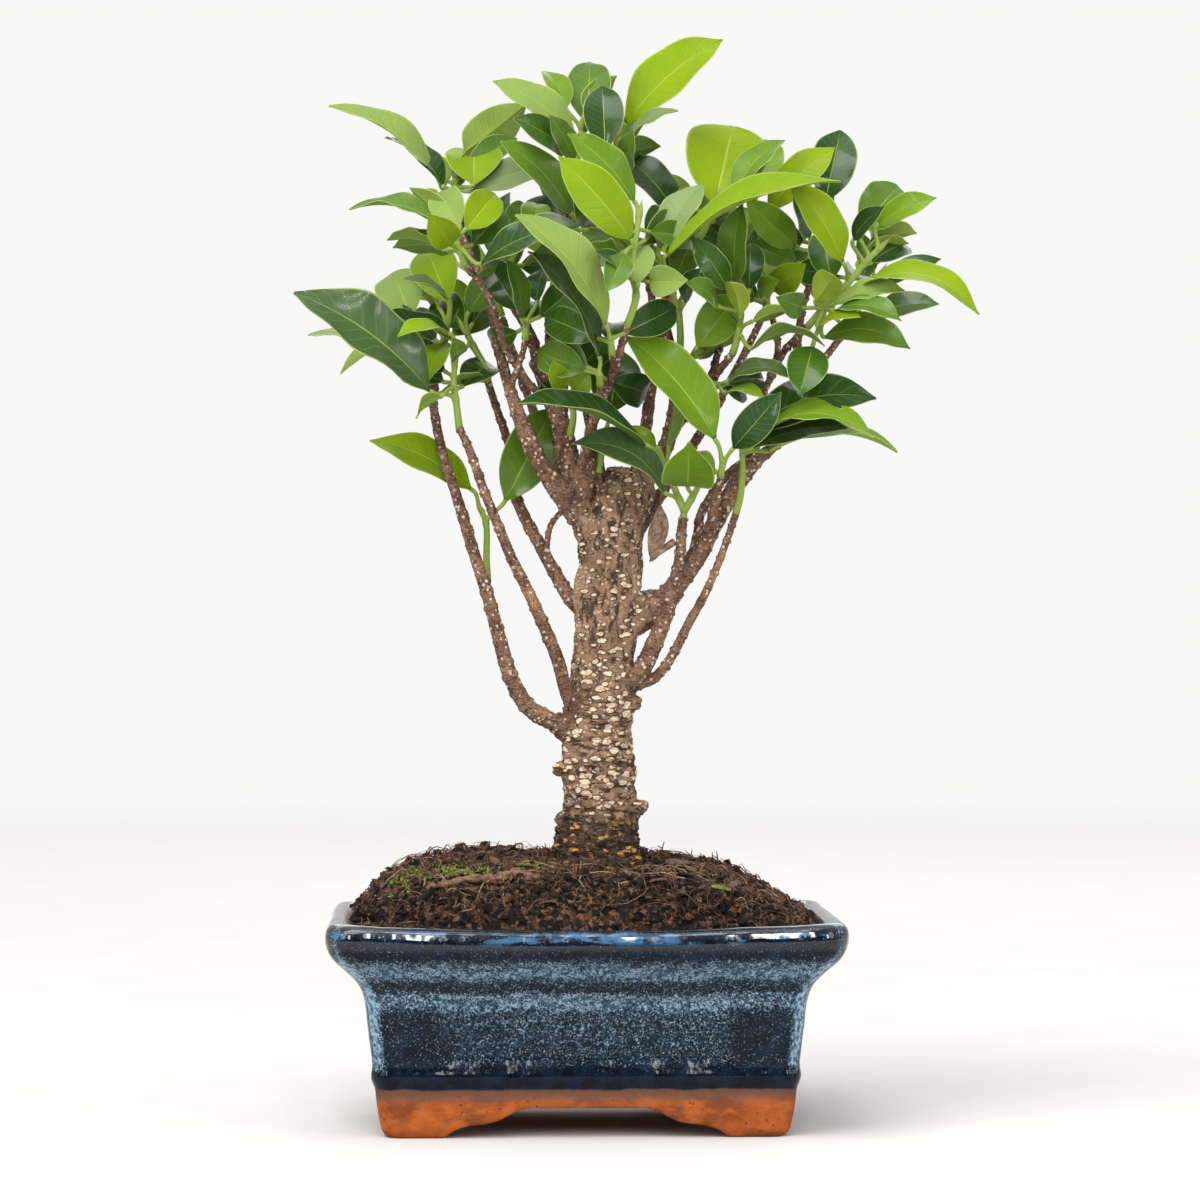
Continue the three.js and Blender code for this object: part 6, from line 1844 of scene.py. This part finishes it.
    def strand(
        self, skin: Skin, dice: random.Random, start: Pair, long: float, radius: float, lift: float
    ) -> None:
        """Adds one fine root that creeps over the soil.

        Args:
            skin: The mesh being gathered.
            dice: Where its bends come from.
            start: Where it starts.
            long: Its length.
            radius: Its radius at its thick end.
            lift: How far it rises over the soil at its middle.
        """
        heading = dice.uniform(0, 6.3)
        x, y = start
        path = []
        steps = max(6, int(long / 2.2))
        for i in range(steps + 1):
            z = self.height(x, y) + 0.7 + lift * math.sin(math.pi * i / steps) + dice.uniform(-0.3, 0.3)
            path.append(Vector((x, y, z)))
            heading += dice.uniform(-0.5, 0.5)
            x = min(69.0, max(-69.0, x + math.cos(heading) * long / steps))
            y = min(45.5, max(-45.5, y + math.sin(heading) * long / steps))
        path = spline(path, 3)
        last = len(path) - 1
        skin.tube(path, [radius * (1 - 0.6 * i / last) for i in range(last + 1)], 5)

    def threads(self) -> tuple[Skin, Skin]:
        """Returns the reddish and the pale fine roots."""
        dice = random.Random(77)
        red, pale = Skin(), Skin()
        for i in range(self.fibres):
            start = self.somewhere(dice)
            long, radius = 3 + 19 * dice.random() ** 2, 0.07 + 0.2 * dice.random() ** 2
            self.strand(red if i % 4 else pale, dice, start, long, radius, dice.uniform(0, 2.4))
        for _ in range(self.stubs):
            x, y = self.somewhere(dice)
            foot = Vector((x, y, self.height(x, y)))
            tip = foot + Vector(draws(dice, (-1.6, 1.6), (-1.6, 1.6), (2.4, 5.0)))
            bend = (foot + tip) / 2 + Vector((*draws(dice, (-0.7, 0.7), (-0.7, 0.7)), 0))
            side = bend + Vector(draws(dice, (-1.8, 1.8), (-1.8, 1.8), (0.4, 1.8)))
            red.tube([foot, bend, tip], [0.34, 0.26, 0.12], 5)
            red.tube([bend, (bend + side) / 2, side], [0.2, 0.2, 0.12], 5)
        return red, pale

    def thick_root(self) -> Skin:
        """Returns the root on the soil, bent and knobby, with two thin side roots."""
        skin = Skin()
        course = [Vector((x, y, self.height(x, y) + 0.9)) for x, y in self.root]
        path = spline(course, 8)
        radii = spline([Vector((r, 0, 0)) for r in self.root_radii], 8)
        steps = range(len(path))
        bends = [Vector((0, 0.5 * math.sin(i * 0.7), 0.35 * math.sin(i * 0.45 + 1))) for i in steps]
        knobs = [1.1 + 0.18 * math.sin(i * 1.3) + 0.1 * math.sin(i * 3.1) for i in steps]
        bent = [p + bend for p, bend in zip(path, bends)]
        skin.tube(bent, [r.x * knob for r, knob in zip(radii, knobs)], 12)
        dice = random.Random(5)
        for start in ((-22, -33.5), (-30, -35)):
            self.strand(skin, dice, start, 16, 0.5, 0.4)
        return skin

    def moss(self) -> Skin:
        """Returns the moss, tufts of short blades and small pads in patches, and a bit of green leaf."""
        dice = random.Random(19)
        skin = Skin()
        self.flake(skin, dice, (41.5, -36), 6.5, 3.4, 0.2)
        points, faces = ball(1)
        for middle_x, middle_y, spread, amount in self.patches:
            for _ in range(amount):
                x, y = middle_x + dice.gauss(0, spread * 0.55), middle_y + dice.gauss(0, spread * 0.4)
                x, y = max(-68.0, min(68.0, x)), max(-44.0, min(44.0, y))
                foot = Vector((x, y, self.height(x, y) + 0.5))
                if dice.random() < 0.35:
                    size = dice.uniform(0.35, 0.9)
                    skin.add(points * (size, size, size * 0.7) + np.array(foot), faces)
                else:
                    lean = Vector((*draws(dice, (-0.6, 0.6), (-0.6, 0.6)), 1)).normalized()
                    high = dice.uniform(0.8, 1.9)
                    tip = foot + lean * high + Vector((lean.x, lean.y, 0)) * 0.4
                    skin.tube([foot, foot + lean * high * 0.5, tip], [0.16, 0.2, 0.05], 4)
        return skin

    def chips(self) -> Skin:
        """Returns bark chips and bits of old leaf, thin curved flakes lying in the soil."""
        dice = random.Random(23)
        skin = Skin()
        spots = list(self.flakes)
        for _ in range(self.small_flakes):
            spots.append((*self.somewhere(dice), *draws(dice, (2.5, 5.5), (1.2, 2.6), (0, 3))))
        for x, y, long, wide, turn in spots:
            self.flake(skin, dice, (x, y), long, wide, turn)
        return skin

    def flake(
        self, skin: Skin, dice: random.Random, where: Pair, long: float, wide: float, turn: float
    ) -> None:
        """Adds one thin, curved flake.

        Args:
            skin: The mesh being gathered.
            dice: Where its tilt comes from.
            where: Its place on the soil.
            long: Its length.
            wide: Its width.
            turn: Its heading.
        """
        x, y = where
        roll, pitch = draws(dice, (-0.5, 0.5), (-0.35, 0.35))
        tilt = Matrix.Rotation(turn, 3, "Z") @ Matrix.Rotation(roll, 3, "X") @ Matrix.Rotation(pitch, 3, "Y")
        middle = Vector((x, y, self.height(x, y) + 0.8 + 0.1 * long))
        top, bottom, half_thick = [], [], Vector((0, 0, 0.25))
        for i in range(9):
            a = -1 + i / 4
            for j in range(5):
                b = -1 + j / 2
                ragged = 1 + 0.16 * noise.noise(Vector((a * 3 + x, b * 3 + y, 0)))
                reach = math.sqrt(max(0.05, 1 - abs(a) ** 3)) * ragged
                hump = 0.14 * wide * (1 - b * b) - 0.06 * long * a * a
                p = Vector((a * long / 2, b * wide / 2 * reach, hump))
                top.append(middle + tilt @ (p + half_thick))
                bottom.append(middle + tilt @ (p - half_thick))
        faces = []
        for i in range(8):
            for j in range(4):
                a = i * 5 + j
                faces += [(a, a + 5, a + 6, a + 1), (45 + a, 45 + a + 1, 45 + a + 6, 45 + a + 5)]
            a = i * 5
            faces += [(a, 45 + a, 50 + a, 5 + a), (a + 4, a + 9, 54 + a, 49 + a)]
        for j in range(4):
            faces += [(j, j + 1, 46 + j, 45 + j), (40 + j, 85 + j, 86 + j, 41 + j)]
        skin.add(np.array([tuple(p) for p in top + bottom]), faces)

    def build(self) -> None:
        """Makes the soil and all that lies on it."""
        peat = Peat()
        dark, light = self.scatter()
        red, pale = self.threads()
        chip = Fibre((0.03, 0.018, 0.012), (0.13, 0.07, 0.042))
        moss = Fibre((0.05, 0.08, 0.01), (0.24, 0.31, 0.04))
        for name, skin, material, nodes in (
            ("peat_heap", self.body(), peat.material("peat"), ("soil",)),
            ("peat_crumbs", dark, peat.material("peat_crumb"), ()),
            ("dry_crumbs", light, peat.material("dry_crumb", 0.45), ()),
            ("red_roots", red, Fibre((0.05, 0.024, 0.014), (0.15, 0.07, 0.038)).material("red_root"), ()),
            ("pale_roots", pale, Fibre((0.12, 0.07, 0.038), (0.38, 0.26, 0.155)).material("pale_root"), ()),
            ("bark_chips", self.chips(), chip.material("bark_chip"), ()),
            ("moss", self.moss(), moss.material("moss_green", 2.5), ()),
        ):
            place(name, skin.mesh(name), [material], "soil", *nodes)
        root = Fibre((0.05, 0.026, 0.015), (0.21, 0.115, 0.062)).material("surface_root_bark", 1.0)
        place("knobby_root", self.thick_root().mesh("knobby_root"), [root], "root", "surface_root")


# ------------------------------------------------------------------ studio
@dataclass
class Studio:
    """The pale floor, the soft lights and the camera."""

    wall_white: Point = (0.94, 0.938, 0.93)
    floor_low: Point = (0.58, 0.568, 0.55)
    floor_high: Point = (0.62, 0.608, 0.59)
    room_dim: Point = (0.05, 0.052, 0.055)
    room_bright: Point = (0.62, 0.62, 0.61)
    floor_fade: Pair = (4e5, 5e6)
    # (name, place in metres, width and height of its cloth, watts)
    lamps: tuple[tuple[str, Point, Pair, float], ...] = (
        ("window_left", (-1.25, -0.95, 0.8), (0.6, 1.1), 7.0),
        ("window_right", (1.2, -0.9, 0.7), (0.5, 0.9), 5.0),
        ("strip_left", (-0.75, -1.15, 0.55), (0.08, 0.5), 3.0),
        ("strip_right", (0.85, -1.1, 0.5), (0.08, 0.45), 3.0),
        ("glint_left", (-0.1, -1.25, 0.8), (0.032, 0.9), 3.6),
        ("glint_right", (0.155, -1.25, 0.8), (0.05, 0.9), 4.6),
        ("sky_panel", (-0.1, -0.3, 1.7), (1.1, 1.1), 6.0),
        ("back_panel", (0.2, 1.4, 1.0), (1.4, 0.9), 6.0),
    )

    def camera(self) -> None:
        """Puts the camera where the tree is seen from in the layout."""
        data = bpy.data.cameras.new("camera")
        data.lens, data.sensor_width = LENS_MM, 36.0
        camera = put("camera", data)
        camera.location = (EYE + ORIGIN) * MM
        camera.rotation_euler = (AIM - EYE).to_track_quat("-Z", "Y").to_euler()
        data.clip_start, data.clip_end = 0.01, 100.0
        bpy.context.scene.camera = camera

    def floor(self) -> None:
        """Lays a plain pale floor under the pot; far out it glows as white as the room, a painted light that
        fades it into the backdrop.
        """
        mesh = bpy.data.meshes.new("floor")
        half = 8
        corners = [(-half, -half, 0), (half, -half, 0), (half, half, 0), (-half, half, 0)]
        mesh.from_pydata(corners, [], [(0, 1, 2, 3)])
        s = Shader("floor_paint")
        spot = s.spot()
        soft = s.grain(spot, 40.0, 3.0)
        x, y, _ = spot.parts()
        # Painted light: far from the pot the floor glows room white instead of being lit.
        far = (x * x + y * y).ramp(*self.floor_fade)
        nothing = (0.0, 0.0, 0.0)
        paint = s.finish(
            Base_Color=s.mix(far, s.mix(soft, self.floor_low, self.floor_high), nothing),
            Emission_Color=s.mix(far, nothing, self.wall_white),
            Emission_Strength=1.0,
            Specular_IOR_Level=0.0,
            Roughness=0.6 + 0.1 * soft,
        )
        mesh.materials.append(paint)
        floor = put("floor", mesh)

    @staticmethod
    def light(name: str, where: Point, size: Pair, watts: float) -> None:
        """Adds one soft light that looks at the tree.

        Args:
            name: Its name.
            where: Its place, in metres.
            size: How wide and high its cloth is.
            watts: Its power.
        """
        data = bpy.data.lights.new(name, "AREA")
        data.shape, data.size, data.size_y, data.energy = "RECTANGLE", size[0], size[1], watts
        lamp = put(name, data)
        lamp.location = where
        lamp.rotation_euler = (Vector((0, 0, 0.15)) - Vector(where)).to_track_quat("-Z", "Y").to_euler()

    def build(self) -> None:
        """Sets up the whole studio."""
        self.camera()
        self.floor()
        for lamp in self.lamps:
            self.light(*lamp)
        sun = bpy.data.lights.new("soft_sun", "SUN")
        sun.energy, sun.angle = 2.2, 0.7
        put("soft_sun", sun).rotation_euler = Vector((0.45, 0.6, -1.25)).to_track_quat("-Z", "Y").to_euler()
        self.room()

    def room(self) -> None:
        """Makes the room: white to the eye; for the light bright behind and above, dim behind the camera."""
        world = bpy.data.worlds.new("white_room")
        world.use_nodes = True
        tree = world.node_tree
        new = tree.nodes.new
        room, seen_room = tree.nodes["Background"], new("ShaderNodeBackground")
        seen_room.inputs["Color"].default_value = (*self.wall_white, 1.0)
        choice, rays = new("ShaderNodeMixShader"), new("ShaderNodeLightPath")
        way, parts = new("ShaderNodeTexCoord"), new("ShaderNodeSeparateXYZ")
        rise, reach, shade = new("ShaderNodeMath"), new("ShaderNodeMapRange"), new("ShaderNodeMix")
        rise.operation, shade.data_type = "MULTIPLY_ADD", "RGBA"
        rise.inputs[1].default_value = 0.9
        reach.inputs["From Min"].default_value, reach.inputs["From Max"].default_value = -0.75, 0.5
        shade.inputs[6].default_value = (*self.room_dim, 1.0)
        shade.inputs[7].default_value = (*self.room_bright, 1.0)
        for source, target in (
            (way.outputs["Generated"], parts.inputs[0]),
            (parts.outputs["Z"], rise.inputs[0]),
            (parts.outputs["Y"], rise.inputs[2]),
            (rise.outputs[0], reach.inputs["Value"]),
            (reach.outputs[0], shade.inputs[0]),
            (shade.outputs[2], room.inputs["Color"]),
            (rays.outputs["Is Camera Ray"], choice.inputs[0]),
            (room.outputs[0], choice.inputs[1]),
            (seen_room.outputs[0], choice.inputs[2]),
            (choice.outputs[0], tree.nodes["World Output"].inputs["Surface"]),
        ):
            tree.links.new(source, target)
        bpy.context.scene.world = world
        bpy.context.scene.view_settings.view_transform = "Standard"


def main() -> None:
    """Builds every sub-assembly in order and reports it."""
    logging.basicConfig(level=logging.INFO, format="%(name)s %(message)s")
    pot = Pot()
    Studio().build()
    pot.build()
    pot.dress_nets()
    Soil(pot).build()
    Tree().build()
    Foliage().build()


if __name__ == "__main__":
    main()
